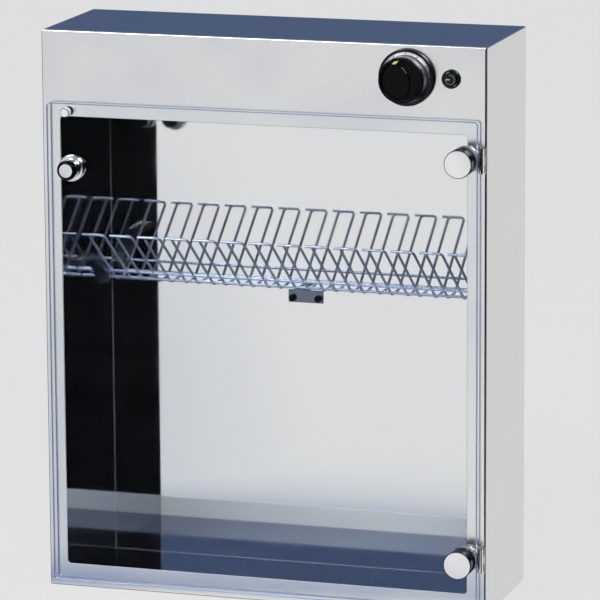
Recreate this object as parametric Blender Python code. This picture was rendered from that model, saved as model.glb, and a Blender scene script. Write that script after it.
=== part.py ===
"""Wall cabinet that sterilizes knives with ultraviolet light, as separate pieces at their real size.

Metres, +Z up, the door towards -Y. The origin is at the middle of the bottom of the whole object's box.
"""

import math

import bmesh
import bpy
from mathutils import Matrix, Vector

# Cabinet
CABINET_WIDTH = 0.490
CABINET_HEIGHT = 0.610
CABINET_DEPTH = 0.160
SHEET = 0.001
GAP = 0.0003
CUT_OVERRUN = 0.006
WINDOW_SIDE_MARGIN = 0.020
WINDOW_TOP_MARGIN = 0.092
WINDOW_BOTTOM_MARGIN = 0.025
WINDOW_CORNER = 0.003
BACK_CAVITY = 0.003
FLANGE_SHARE = 0.6
MERGE_SHARE = 0.01
KEYHOLE_HEAD_RADIUS = 0.006
KEYHOLE_NECK_WIDTH = 0.006
KEYHOLE_NECK_LENGTH = 0.012
KEYHOLE_SPACING = 0.300
KEYHOLE_FROM_TOP = 0.030

# Door
DOOR_SIDE_MARGIN = 0.0072
DOOR_TOP_MARGIN = 0.077
DOOR_BOTTOM_MARGIN = 0.008
DOOR_THICKNESS = 0.005
DOOR_STANDOFF = 0.004
DOOR_CORNER = 0.004
CORNER_SEGMENTS = 4

# Hinges
HINGE_FROM_DOOR_TOP = 0.041
HINGE_FROM_DOOR_BOTTOM = 0.056
BARREL_RADIUS = 0.003
BARREL_LENGTH = 0.026
BARREL_MIDDLE = 0.009
PIN_RADIUS = 0.0013
PIN_HEAD_RADIUS = 0.0024
PIN_HEAD_HEIGHT = 0.0012
PIN_CLEARANCE = 0.0003
LEAF_THICKNESS = 0.0012
LEAF_WIDTH = 0.0186
LEAF_OVERHANG = 0.0006
WEB_INSET = 0.0002
ARM_THICKNESS = 0.0019
CAP_RADIUS = 0.015
CAP_LENGTH = 0.0206
CAP_GROOVE_DEPTH = 0.0018
CAP_GROOVE_WIDTH = 0.0022
CAP_FOOT_LENGTH = 0.007
CAP_CHAMFER = 0.0012
CAP_FROM_AXIS = 0.0185
STUD_RADIUS = 0.005
STUD_GRIP = 0.012
WASHER_THICKNESS = 0.0008
WASHER_INSET = 0.0015

# Handle and striker
HANDLE_FROM_DOOR_SIDE = 0.0305
HANDLE_FROM_DOOR_TOP = 0.068
HANDLE_RADIUS = 0.0108
HANDLE_LENGTH = 0.0236
HANDLE_FOOT_RADIUS = 0.014
HANDLE_WAIST_RADIUS = 0.0088
HANDLE_FOOT_LENGTH = 0.0085
HANDLE_HEAD_LENGTH = 0.0125
HANDLE_EDGE = 0.0032
HANDLE_EDGE_SHARE = 0.3
HANDLE_STUD_RADIUS = 0.0025
HANDLE_CAP_RADIUS = 0.010
HANDLE_CAP_LENGTH = 0.010
STRIKER_RADIUS = 0.005
STRIKER_LENGTH = 0.0025
STRIKER_STUD_RADIUS = 0.002
STRIKER_FROM_DOOR_SIDE = 0.0218
STRIKER_FROM_DOOR_TOP = 0.0095

# Door switch
PLUNGER_RADIUS = 0.0015
PLUNGER_INSIDE = 0.009
PLUNGER_CLEARANCE = 0.0005
DOOR_SWITCH_WIDTH = 0.014
DOOR_SWITCH_DEPTH = 0.020
DOOR_SWITCH_HEIGHT = 0.0145

# Control space
COVER_ABOVE_WINDOW = 0.016
COVER_BEFORE_REFLECTOR = 0.007
COVER_FLANGE = 0.010
COVER_SCREW_FROM_SIDE = 0.095
SCREW_RADIUS = 0.002
SCREW_HEAD_RADIUS = 0.004
SCREW_HEAD_HEIGHT = 0.002
SCREW_LENGTH = 0.006
SCREW_CLEARANCE = 0.0005

# Timer
TIMER_FROM_SIDE = 0.085
CONTROLS_FROM_TOP = 0.034
TIMER_BODY_SIDE = 0.052
TIMER_BODY_DEPTH = 0.040
TIMER_NECK_RADIUS = 0.0048
TIMER_SHAFT_RADIUS = 0.003
TIMER_NUT_RADIUS = 0.008
TIMER_NUT_THICKNESS = 0.0025
DIAL_RADIUS = 0.030
DIAL_THICKNESS = 0.007
DIAL_LIP = 0.0012
DIAL_BORE_RADIUS = 0.010
KNOB_RADIUS = 0.024
KNOB_WAIST_RADIUS = 0.0225
KNOB_LENGTH = 0.019
KNOB_EDGE = 0.002
KNOB_BORE_DEPTH = 0.012

# Power button
BUTTON_FROM_SIDE = 0.0375
BUTTON_BEZEL_RADIUS = 0.010
BUTTON_BEZEL_LENGTH = 0.0025
BUTTON_RADIUS = 0.0075
BUTTON_PROUD = 0.0028
BUTTON_DEPTH = 0.010
BUTTON_TRAVEL = 0.002
BUTTON_CLEARANCE = 0.0004
SWITCH_BODY_RADIUS = 0.0085
SWITCH_BODY_LENGTH = 0.026
BUTTON_NUT_RADIUS = 0.0125
BUTTON_NUT_THICKNESS = 0.003
BUTTON_NUT_OFF_PANEL = 0.0003
HEXAGON_SIDES = 6

# Lamp
TUBE_RADIUS = 0.013
TUBE_WALL = 0.0012
TUBE_CAP_LENGTH = 0.012
TUBE_CAP_WALL = 0.001
LAMP_PIN_RADIUS = 0.0012
LAMP_PIN_LENGTH = 0.007
LAMP_PIN_SPACING = 0.0127
LAMP_FROM_MIRROR = 0.0387
LAMP_FROM_TOP = 0.048
ROTOR_RADIUS = 0.010
ROTOR_LENGTH = 0.008
ROTOR_SLOT_WIDTH = 0.0034
HOLDER_DEPTH = 0.032
HOLDER_HEIGHT = 0.044
HOLDER_LENGTH = 0.0247
REFLECTOR_THICKNESS = 0.0008
REFLECTOR_INSET = 0.0137
REFLECTOR_FLAT = 0.036
REFLECTOR_WIDTH = 0.072
REFLECTOR_DROP = 0.028

# Electrics
BALLAST_LENGTH = 0.150
BALLAST_DEPTH = 0.040
BALLAST_HEIGHT = 0.028
BALLAST_FOOT_LENGTH = 0.012
BALLAST_FOOT_HEIGHT = 0.0015
BALLAST_FROM_SIDE = 0.020
BALLAST_FROM_FRONT = 0.0035
STARTER_RADIUS = 0.0107
STARTER_LENGTH = 0.036
STARTER_NECK_RADIUS = 0.0085
STARTER_NECK_LENGTH = 0.004
STARTER_PIN_RADIUS = 0.0016
STARTER_PIN_LENGTH = 0.004
STARTER_PIN_SPACING = 0.0127
STARTER_SOCKET_SIDE = 0.030
STARTER_SOCKET_DEPTH = 0.010
STARTER_FROM_BALLAST = 0.012
STARTER_FROM_FRONT = 0.022
TERMINAL_LENGTH = 0.060
TERMINAL_DEPTH = 0.018
TERMINAL_HEIGHT = 0.016
TERMINAL_PORT_RADIUS = 0.002
TERMINAL_PORTS = 5
TERMINAL_FROM_STARTER = 0.014
TERMINAL_FROM_WALL = 0.010
GLAND_RADIUS = 0.009
GLAND_INSIDE = 0.004
GLAND_BORE_RADIUS = 0.004
GLAND_FROM_SIDE = 0.055
GLAND_FROM_TOP = 0.055
CABLE_HOLE_RADIUS = 0.006

# Rack
RACK_WIRE_RADIUS = 0.0014
RACK_PITCH = 0.0316
RACK_END_MARGIN = 0.010
RACK_LEG_SPACING = 0.0180
RACK_TOP_BELOW_WINDOW = 0.138
RACK_DROP = 0.066
RACK_REACH = 0.088
RACK_FROM_BACK = 0.014
RACK_HOOK = 0.007
RACK_FOOT = 0.011
RACK_BEND = 0.003
RAIL_RADIUS = 0.0016
RAIL_UPPER_SHARE = 0.22
RAIL_LOWER_SHARE = 0.08
RAIL_TOUCH_SHARE = 0.7
HOOK_WIRE_SHARE = 0.9
RAIL_END_CLEARANCE = 0.0015
BRACKET_WIDTH = 0.039
BRACKET_THICKNESS = 0.0015
BRACKET_BELOW_RAIL = 0.021
BRACKET_HEIGHT = 0.0135
BRACKET_TAB_WIDTH = 0.008
BRACKET_SCREW_SPACING = 0.029
BRACKET_SCREW_UP = 0.005
SADDLE_WIDTH = 0.006
SADDLE_AHEAD = 0.007
SADDLE_BEHIND = 0.0045
SADDLE_ABOVE = 0.007
SADDLE_BELOW = 0.0045
SADDLE_ARM_FROM_FRONT = 0.040
SADDLE_ARM_LENGTH = 0.046
SADDLE_ARM_HEIGHT = 0.007
SADDLE_ARM_BELOW_TOP = 0.026

ROUND_SIDES = 32
SMALL_SIDES = 16
WIRE_SIDES = 8
SMOOTH_ANGLE = math.radians(35)
QUARTER_TURN = math.pi / 2

# Places worked out from the sizes
half_width = CABINET_WIDTH / 2
front_reach = DOOR_STANDOFF + DOOR_THICKNESS + GAP + WASHER_THICKNESS + GAP + HANDLE_LENGTH
front_y = (front_reach - CABINET_DEPTH) / 2
back_y = front_y + CABINET_DEPTH
inside_front_y = front_y + SHEET + GAP
mirror_y = back_y - SHEET - GAP - BACK_CAVITY - SHEET
inside_top_z = CABINET_HEIGHT - SHEET - GAP
window_top_z = CABINET_HEIGHT - WINDOW_TOP_MARGIN
window_bottom_z = WINDOW_BOTTOM_MARGIN
window_half_width = half_width - WINDOW_SIDE_MARGIN
door_half_width = half_width - DOOR_SIDE_MARGIN
door_top_z = CABINET_HEIGHT - DOOR_TOP_MARGIN
door_bottom_z = DOOR_BOTTOM_MARGIN
door_back_y = front_y - DOOR_STANDOFF
door_front_y = door_back_y - DOOR_THICKNESS
hinge_x = door_half_width + BARREL_RADIUS + 2 * GAP
hinge_y = front_y - GAP - LEAF_THICKNESS - GAP - BARREL_RADIUS
hinge_heights = {"upper": door_top_z - HINGE_FROM_DOOR_TOP, "lower": door_bottom_z + HINGE_FROM_DOOR_BOTTOM}
cap_x = hinge_x - CAP_FROM_AXIS
cover_floor_z = window_top_z + COVER_ABOVE_WINDOW
liner_bottom_z = SHEET + GAP + SHEET + GAP
controls_z = CABINET_HEIGHT - CONTROLS_FROM_TOP
handle_x = -door_half_width + HANDLE_FROM_DOOR_SIDE
handle_z = door_top_z - HANDLE_FROM_DOOR_TOP
striker_x = -door_half_width + STRIKER_FROM_DOOR_SIDE
striker_z = door_top_z - STRIKER_FROM_DOOR_TOP
lamp_y = mirror_y - LAMP_FROM_MIRROR
lamp_face_x = half_width - SHEET - GAP - HOLDER_LENGTH - GAP
cover_wall_y = lamp_y - REFLECTOR_WIDTH / 2 - COVER_BEFORE_REFLECTOR
timer_x = half_width - TIMER_FROM_SIDE
button_x = half_width - BUTTON_FROM_SIDE
gland_x = -half_width + GLAND_FROM_SIDE
ballast_x = -half_width + SHEET + BALLAST_FROM_SIDE
starter_x = ballast_x + BALLAST_LENGTH + BALLAST_FOOT_LENGTH + STARTER_FROM_BALLAST
lamp_z = CABINET_HEIGHT - LAMP_FROM_TOP
rack_top_z = window_top_z - RACK_TOP_BELOW_WINDOW
rack_bottom_z = rack_top_z - RACK_DROP
rack_bottom_y = mirror_y - RACK_FROM_BACK
rack_top_y = rack_bottom_y - RACK_REACH


def to_linear(channel):
    """One sRGB channel as linear light."""
    return channel / 12.92 if channel <= 0.04045 else ((channel + 0.055) / 1.055) ** 2.4


def make_material(name, colour, roughness, metallic=0.0, alpha=1.0):
    """A plain material: colour as a six-digit sRGB hex text."""
    material = bpy.data.materials.new(name)
    material.use_nodes = True
    shader = material.node_tree.nodes["Principled BSDF"]
    red, green, blue = (to_linear(int(colour[i : i + 2], 16) / 255) for i in (0, 2, 4))
    shader.inputs["Base Color"].default_value = (red, green, blue, 1.0)
    shader.inputs["Roughness"].default_value = roughness
    shader.inputs["Metallic"].default_value = metallic
    shader.inputs["Alpha"].default_value = alpha
    material.diffuse_color = (red, green, blue, alpha)
    return material


FINISHES = {
    "brushed": ("c9ccd0", 0.35, 1.0),
    "polished": ("d9dde3", 0.08, 1.0),
    "chrome": ("e4e6ea", 0.06, 1.0),
    "black": ("0c0c0e", 0.30),
    "dark": ("2a2c30", 0.50),
    "white": ("eceae4", 0.45),
    "wire": ("9aa6b8", 0.20, 1.0),
    "zinc": ("b4b6ae", 0.40, 1.0),
    "acrylic": ("eef2f4", 0.05, 0.0, 0.25),
    "quartz": ("e6ecf4", 0.05, 0.0, 0.40),
    "soft": ("d8d8d6", 0.60),
}


def put(name, work, finish, parent=None, origin=None):
    """Makes the object, with its own material, its origin on the given point and its faces smooth where round."""
    bmesh.ops.recalc_face_normals(work, faces=work.faces)
    mesh = bpy.data.meshes.new(name)
    if origin is not None:
        bmesh.ops.translate(work, verts=work.verts, vec=-origin)
    work.to_mesh(mesh)
    work.free()
    mesh.shade_smooth()
    mesh.set_sharp_from_angle(angle=SMOOTH_ANGLE)
    mesh.materials.append(make_material(name + "_finish", *FINISHES[finish]))
    obj = bpy.data.objects.new(name, mesh)
    bpy.context.scene.collection.objects.link(obj)
    if origin is not None:
        obj.location = origin
    if parent is not None:
        obj.parent = parent
        obj.matrix_parent_inverse = Matrix.Translation(-parent.location)
    return obj


def block(low, high):
    """A box between two corners."""
    work = bmesh.new()
    bmesh.ops.create_cube(work, size=1.0)
    low, high = Vector(low), Vector(high)
    size, centre = high - low, (low + high) / 2
    for vert in work.verts:
        vert.co = Vector(c * s + m for c, s, m in zip(vert.co, size, centre))
    return work


def turned(profile, centre, axis, sides=ROUND_SIDES):
    """A round piece: profile is a list of (along, radius), from one end to the other, along the axis from centre."""
    work = bmesh.new()
    step = 2 * math.pi / sides
    lay = {"X": Vector((1, 0, 0)), "Y": Vector((0, 1, 0)), "-Y": Vector((0, -1, 0)), "Z": Vector((0, 0, 1))}[axis]
    first = Vector((0, 0, 1)) if axis != "Z" else Vector((1, 0, 0))
    second = lay.cross(first)
    rings = []
    for along, radius in profile:
        middle = Vector(centre) + lay * along
        if radius == 0:
            rings.append([work.verts.new(middle)])
            continue
        rings.append(
            [
                work.verts.new(middle + first * math.cos(step * i) * radius + second * math.sin(step * i) * radius)
                for i in range(sides)
            ]
        )
    for near, far in zip(rings, rings[1:]):
        for i in range(sides):
            j = (i + 1) % sides
            corners = [near[i % len(near)], near[j % len(near)], far[j % len(far)], far[i % len(far)]]
            work.faces.new(list(dict.fromkeys(corners)))
    for ring in (rings[0], rings[-1]):
        if len(ring) > 1 and rings[0][0].co != rings[-1][0].co:
            work.faces.new(ring)
    bmesh.ops.remove_doubles(work, verts=work.verts, dist=GAP * MERGE_SHARE)
    return work


def extruded(outline, axis, start, end):
    """A straight bar of any cross-section: outline in the two other axes, in X, Y, Z order."""
    work = bmesh.new()
    place = {
        "X": lambda a, b, along: (along, a, b),
        "Y": lambda a, b, along: (a, along, b),
        "Z": lambda a, b, along: (a, b, along),
    }[axis]
    rings = [[work.verts.new(place(a, b, along)) for a, b in outline] for along in (start, end)]
    for ring in rings:
        work.faces.new(ring)
    count = len(outline)
    for i in range(count):
        j = (i + 1) % count
        work.faces.new([rings[0][i], rings[0][j], rings[1][j], rings[1][i]])
    return work


def round_rectangle(left, right, bottom, top, radius, segments=CORNER_SEGMENTS):
    """Corner points of a rectangle with round corners."""
    points = []
    corners = ((right, top, 0), (left, top, 1), (left, bottom, 2), (right, bottom, 3))
    for x, z, quarter in corners:
        middle_x = x - radius if quarter in (0, 3) else x + radius
        middle_z = z - radius if quarter in (0, 1) else z + radius
        for i in range(segments + 1):
            angle = QUARTER_TURN * (quarter + i / segments)
            points.append((middle_x + radius * math.cos(angle), middle_z + radius * math.sin(angle)))
    return points


def folded(path, thickness, axis, start, end):
    """A folded sheet: path is its outer side in the cross-section, and the thickness lies to its left."""
    points = [Vector(p) for p in path]
    normals = []
    for a, b in zip(points, points[1:]):
        run = (b - a).normalized()
        normals.append(Vector((-run.y, run.x)))
    inner = []
    for i, point in enumerate(points):
        before, after = normals[max(i - 1, 0)], normals[min(i, len(normals) - 1)]
        middle = (before + after).normalized()
        inner.append(point + middle * thickness / middle.dot(after))
    return extruded([tuple(p) for p in points] + [tuple(p) for p in reversed(inner)], axis, start, end)


def cut(obj, works, operation="DIFFERENCE"):
    """Cuts every given shape out of the object, or joins them all to it."""
    for i, work in enumerate(works):
        bmesh.ops.recalc_face_normals(work, faces=work.faces)
        mesh = bpy.data.meshes.new(f"{obj.name}_tool_{i}")
        work.to_mesh(mesh)
        work.free()
        tool = bpy.data.objects.new(mesh.name, mesh)
        tool.hide_render = True
        tool.display_type = "WIRE"
        bpy.context.scene.collection.objects.link(tool)
        step = obj.modifiers.new(mesh.name, "BOOLEAN")
        step.operation = operation
        step.object = tool
        step.solver = "EXACT"
    return obj


def rod(centre, axis, length, radius, sides=SMALL_SIDES):
    """A plain round bar from centre along the axis."""
    return turned([(0, radius), (length, radius)], centre, axis, sides)


def centred_rod(centre, axis, length, radius, sides=SMALL_SIDES):
    """A plain round bar with its middle at centre."""
    return turned([(-length / 2, radius), (length / 2, radius)], centre, axis, sides)


def wire(points, radius, sides=WIRE_SIDES):
    """A bent wire: the same round section along a line of points."""
    work = bmesh.new()
    points = [Vector(p) for p in points]
    step = 2 * math.pi / sides
    rings, side = [], None
    for i, point in enumerate(points):
        before = (point - points[i - 1]).normalized() if i else None
        after = (points[i + 1] - point).normalized() if i + 1 < len(points) else None
        run = ((before or after) + (after or before)).normalized()
        if side is None:
            side = run.orthogonal().normalized()
        side = (side - run * side.dot(run)).normalized()
        other = run.cross(side)
        rings.append(
            [
                work.verts.new(point + (side * math.cos(step * k) + other * math.sin(step * k)) * radius)
                for k in range(sides)
            ]
        )
    for near, far in zip(rings, rings[1:]):
        for k in range(sides):
            j = (k + 1) % sides
            work.faces.new([near[k], near[j], far[j], far[k]])
    work.faces.new(rings[0])
    work.faces.new(rings[-1])
    return work


def empty(name, place):
    """A helper on a joint's axis, which the moving pieces hang on."""
    marker = bpy.data.objects.new(name, None)
    bpy.context.scene.collection.objects.link(marker)
    marker.location = place
    bpy.context.view_layer.update()
    return marker


def make_cabinet():
    wrap_front, wrap_back = inside_front_y, back_y - SHEET - GAP
    wrap = put(
        "outer_wrap", block((-half_width, wrap_front, 0), (half_width, wrap_back, CABINET_HEIGHT)), "brushed"
    )
    cut(
        wrap,
        [
            block(
                (-half_width + SHEET, wrap_front - CUT_OVERRUN, SHEET),
                (half_width - SHEET, wrap_back + CUT_OVERRUN, CABINET_HEIGHT - SHEET),
            )
        ],
    )

    front = put(
        "front_panel",
        block((-half_width, front_y, 0), (half_width, front_y + SHEET, CABINET_HEIGHT)),
        "brushed",
    )
    from_y, to_y = front_y - CUT_OVERRUN, front_y + SHEET + CUT_OVERRUN
    window = round_rectangle(
        -window_half_width, window_half_width, window_bottom_z, window_top_z, WINDOW_CORNER
    )
    reach = to_y - from_y
    cut(
        front,
        [
            extruded(window, "Y", from_y, to_y),
            rod((timer_x, from_y, controls_z), "Y", reach, TIMER_NECK_RADIUS + GAP),
            rod((button_x, from_y, controls_z), "Y", reach, SWITCH_BODY_RADIUS + GAP),
            rod((striker_x, from_y, striker_z), "Y", reach, PLUNGER_RADIUS + PLUNGER_CLEARANCE),
        ],
    )

    back = put(
        "back_panel", block((-half_width, back_y - SHEET, 0), (half_width, back_y, CABINET_HEIGHT)), "brushed"
    )
    from_y, to_y = back_y - SHEET - CUT_OVERRUN, back_y + CUT_OVERRUN
    reach = to_y - from_y
    holes = [
        rod(
            (gland_x, from_y, CABINET_HEIGHT - GLAND_FROM_TOP),
            "Y",
            reach,
            GLAND_RADIUS + GAP,
        )
    ]
    head_z = CABINET_HEIGHT - KEYHOLE_FROM_TOP - KEYHOLE_NECK_LENGTH
    for side in (-1, 1):
        x = side * KEYHOLE_SPACING / 2
        holes.append(rod((x, from_y, head_z), "Y", reach, KEYHOLE_HEAD_RADIUS))
        holes.append(
            block(
                (x - KEYHOLE_NECK_WIDTH / 2, from_y, head_z),
                (x + KEYHOLE_NECK_WIDTH / 2, to_y, head_z + KEYHOLE_NECK_LENGTH),
            )
        )
    cut(back, holes)

    flange = (WINDOW_SIDE_MARGIN - 2 * SHEET - GAP) * FLANGE_SHARE
    for name, side in (("liner_left", -1), ("liner_right", 1)):
        inner = side * window_half_width
        outer = inner + side * flange
        wall = inner + side * SHEET
        near, far = inside_front_y, mirror_y - GAP
        outline = [
            (inner, near),
            (outer, near),
            (outer, near + SHEET),
            (wall, near + SHEET),
            (wall, far - SHEET),
            (outer, far - SHEET),
            (outer, far),
            (inner, far),
        ]
        put(name, extruded(outline, "Z", liner_bottom_z, cover_floor_z - GAP), "polished")

    put(
        "chamber_floor",
        block(
            (-half_width + SHEET + GAP, inside_front_y, SHEET + GAP),
            (half_width - SHEET - GAP, mirror_y - GAP, SHEET + GAP + SHEET),
        ),
        "polished",
    )
    mirror = put(
        "polished_back",
        block(
            (-half_width + SHEET + GAP, mirror_y, SHEET + GAP),
            (half_width - SHEET - GAP, mirror_y + SHEET, inside_top_z),
        ),
        "polished",
    )
    gland_at = (gland_x, mirror_y - CUT_OVERRUN, CABINET_HEIGHT - GLAND_FROM_TOP)
    cut(mirror, [rod(gland_at, "Y", SHEET + 2 * CUT_OVERRUN, GLAND_RADIUS + GAP)])
    spacer_y = mirror_y + SHEET + GAP
    for name, side in (("back_spacer_left", -1), ("back_spacer_right", 1)):
        edge = side * (half_width - SHEET - GAP)
        near_x, far_x = sorted((edge, edge - side * flange))
        put(
            name,
            block((near_x, spacer_y, SHEET + GAP), (far_x, back_y - SHEET - GAP, inside_top_z)),
            "zinc",
        )


def make_control_cover():
    reach = half_width - SHEET - GAP
    cover = put(
        "control_cover",
        folded(
            [
                (inside_front_y, cover_floor_z),
                (cover_wall_y, cover_floor_z),
                (cover_wall_y, inside_top_z - SHEET),
                (cover_wall_y + COVER_FLANGE, inside_top_z - SHEET),
            ],
            SHEET,
            "X",
            -reach,
            reach,
        ),
        "brushed",
    )
    head_y = cover_wall_y + COVER_FLANGE / 2
    holes = []
    for name, side in (("cover_screw_left", -1), ("cover_screw_right", 1)):
        x = side * (half_width - COVER_SCREW_FROM_SIDE)
        holes.append(
            rod(
                (x, head_y, inside_top_z - SHEET - CUT_OVERRUN),
                "Z",
                SHEET + 2 * CUT_OVERRUN,
                SCREW_RADIUS + SCREW_CLEARANCE,
            )
        )
        put(
            name,
            turned(
                [
                    (-SCREW_HEAD_HEIGHT - GAP, SCREW_HEAD_RADIUS),
                    (-GAP, SCREW_HEAD_RADIUS),
                    (-GAP, SCREW_RADIUS),
                    (SHEET, SCREW_RADIUS),
                ],
                (x, head_y, inside_top_z - SHEET),
                "Z",
                SMALL_SIDES,
            ),
            "zinc",
        )
    cable_at = (gland_x, cover_wall_y - SHEET - CUT_OVERRUN, CABINET_HEIGHT - GLAND_FROM_TOP)
    holes.append(rod(cable_at, "Y", SHEET + 2 * CUT_OVERRUN, CABLE_HOLE_RADIUS))
    cut(cover, holes)


def make_gland():
    place = (gland_x, back_y, CABINET_HEIGHT - GLAND_FROM_TOP)
    inner = mirror_y - GLAND_INSIDE - back_y
    put(
        "cable_gland",
        turned(
            [
                (inner, GLAND_BORE_RADIUS),
                (inner, GLAND_RADIUS),
                (0, GLAND_RADIUS),
                (0, GLAND_BORE_RADIUS),
                (inner, GLAND_BORE_RADIUS),
            ],
            place,
            "Y",
            SMALL_SIDES,
        ),
        "black",
    )


def make_lamp():
    axis_point = Vector((0, lamp_y, lamp_z))
    turning = empty("lamp_turning_axis", axis_point)
    half_face = lamp_face_x
    glass_half = half_face - TUBE_CAP_LENGTH - GAP
    tube = [
        (-glass_half, TUBE_RADIUS - TUBE_WALL),
        (-glass_half, TUBE_RADIUS),
        (glass_half, TUBE_RADIUS),
        (glass_half, TUBE_RADIUS - TUBE_WALL),
        (-glass_half, TUBE_RADIUS - TUBE_WALL),
    ]
    put("uv_tube", turned(tube, axis_point, "X"), "quartz", turning, axis_point)
    wall_x = half_width - SHEET - GAP
    for side_name, side in (("left", -1), ("right", 1)):
        inner, face = sorted((side * (half_face - TUBE_CAP_LENGTH), side * half_face))
        cap = put(
            "tube_cap_" + side_name,
            turned([(inner, TUBE_RADIUS), (face, TUBE_RADIUS)], axis_point, "X"),
            "zinc",
            turning,
            axis_point,
        )
        pins = []
        for up in (-1, 1):
            middle = side * (half_face + LAMP_PIN_LENGTH / 2 - TUBE_CAP_WALL / 2)
            centre = (middle, lamp_y, lamp_z + up * LAMP_PIN_SPACING / 2)
            pins.append(
                centred_rod(centre, "X", LAMP_PIN_LENGTH + TUBE_CAP_WALL, LAMP_PIN_RADIUS, WIRE_SIDES)
            )
        cut(cap, pins, "UNION")

        near, far = side * (half_face + GAP), side * (half_face + GAP + ROTOR_LENGTH)
        rotor = put(
            "lamp_rotor_" + side_name,
            turned(sorted([(near, ROTOR_RADIUS), (far, ROTOR_RADIUS)]), axis_point, "X"),
            "white",
            turning,
            axis_point,
        )
        slot_x = sorted((near - side * CUT_OVERRUN, side * (half_face + LAMP_PIN_LENGTH + GAP)))
        slot_half = LAMP_PIN_SPACING / 2 + ROTOR_SLOT_WIDTH / 2
        cut(
            rotor,
            [
                block(
                    (slot_x[0], lamp_y - ROTOR_SLOT_WIDTH / 2, lamp_z - slot_half),
                    (slot_x[1], lamp_y + ROTOR_SLOT_WIDTH / 2, lamp_z + slot_half),
                )
            ],
        )

        holder_x = sorted((near, side * wall_x))
        holder = put(
            "lamp_holder_" + side_name,
            block(
                (holder_x[0], lamp_y - HOLDER_DEPTH / 2, lamp_z - HOLDER_HEIGHT / 2),
                (holder_x[1], lamp_y + HOLDER_DEPTH / 2, lamp_z + HOLDER_HEIGHT / 2),
            ),
            "white",
        )
        recess = sorted((near - side * CUT_OVERRUN, far + side * GAP))
        cut(
            holder,
            [
                turned([(x, ROTOR_RADIUS + GAP) for x in recess], axis_point, "X"),
                block(
                    (recess[0], lamp_y - ROTOR_SLOT_WIDTH / 2, lamp_z - HOLDER_HEIGHT / 2 - CUT_OVERRUN),
                    (recess[1], lamp_y + ROTOR_SLOT_WIDTH / 2, lamp_z),
                ),
            ],
        )

    flat, wide = REFLECTOR_FLAT / 2, REFLECTOR_WIDTH / 2
    put(
        "lamp_reflector",
        folded(
            [
                (lamp_y + wide, inside_top_z - REFLECTOR_DROP),
                (lamp_y + flat, inside_top_z),
                (lamp_y - flat, inside_top_z),
                (lamp_y - wide, inside_top_z - REFLECTOR_DROP),
            ],
            REFLECTOR_THICKNESS,
            "X",
            -lamp_face_x + REFLECTOR_INSET,
            lamp_face_x - REFLECTOR_INSET,
        ),
        "polished",
    )


def make_electrics():
    floor_z = cover_floor_z + SHEET + GAP
    left = ballast_x
    near = front_y + BALLAST_FROM_FRONT
    ballast = put(
        "ballast",
        block((left, near, floor_z), (left + BALLAST_LENGTH, near + BALLAST_DEPTH, floor_z + BALLAST_HEIGHT)),
        "zinc",
    )
    cut(
        ballast,
        [
            block(
                (left - BALLAST_FOOT_LENGTH, near + BALLAST_FOOT_LENGTH, floor_z),
                (
                    left + BALLAST_LENGTH + BALLAST_FOOT_LENGTH,
                    near + BALLAST_DEPTH - BALLAST_FOOT_LENGTH,
                    floor_z + BALLAST_FOOT_HEIGHT,
                ),
            )
        ],
        "UNION",
    )

    side = STARTER_SOCKET_SIDE / 2
    centre = Vector((starter_x, front_y + STARTER_FROM_FRONT, floor_z + side))
    turning = empty("starter_turning_axis", centre)
    mouth = centre.x + STARTER_SOCKET_DEPTH
    socket = put(
        "starter_socket",
        block(
            (centre.x, centre.y - side, centre.z - side),
            (mouth, centre.y + side, centre.z + side),
        ),
        "white",
    )
    bore = [
        (-STARTER_NECK_LENGTH - STARTER_PIN_LENGTH - GAP, STARTER_NECK_RADIUS + GAP),
        (CUT_OVERRUN, STARTER_NECK_RADIUS + GAP),
    ]
    cut(socket, [turned(bore, (mouth, centre.y, centre.z), "X")])
    seat = mouth + GAP
    starter = put(
        "starter",
        turned(
            [
                (-STARTER_NECK_LENGTH, STARTER_NECK_RADIUS),
                (0, STARTER_NECK_RADIUS),
                (0, STARTER_RADIUS),
                (STARTER_LENGTH, STARTER_RADIUS),
            ],
            (seat, centre.y, centre.z),
            "X",
        ),
        "white",
        turning,
        centre,
    )
    pin_start = seat - STARTER_NECK_LENGTH - STARTER_PIN_LENGTH
    pins = [
        rod(
            (pin_start, centre.y + s * STARTER_PIN_SPACING / 2, centre.z),
            "X",
            STARTER_PIN_LENGTH + STARTER_NECK_LENGTH / 2,
            STARTER_PIN_RADIUS,
            WIRE_SIDES,
        )
        for s in (-1, 1)
    ]
    cut(starter, pins, "UNION")

    near = cover_wall_y - SHEET - TERMINAL_FROM_WALL - TERMINAL_DEPTH
    left = mouth + STARTER_LENGTH + TERMINAL_FROM_STARTER
    terminals = put(
        "terminal_block",
        block(
            (left, near, floor_z), (left + TERMINAL_LENGTH, near + TERMINAL_DEPTH, floor_z + TERMINAL_HEIGHT)
        ),
        "white",
    )
    pitch = TERMINAL_LENGTH / TERMINAL_PORTS
    cut(
        terminals,
        [
            rod(
                (left + pitch * (i + 0.5), near - CUT_OVERRUN, floor_z + TERMINAL_HEIGHT / 2),
                "Y",
                TERMINAL_DEPTH + 2 * CUT_OVERRUN,
                TERMINAL_PORT_RADIUS,
                WIRE_SIDES,
            )
            for i in range(TERMINAL_PORTS)
        ],
    )


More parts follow.
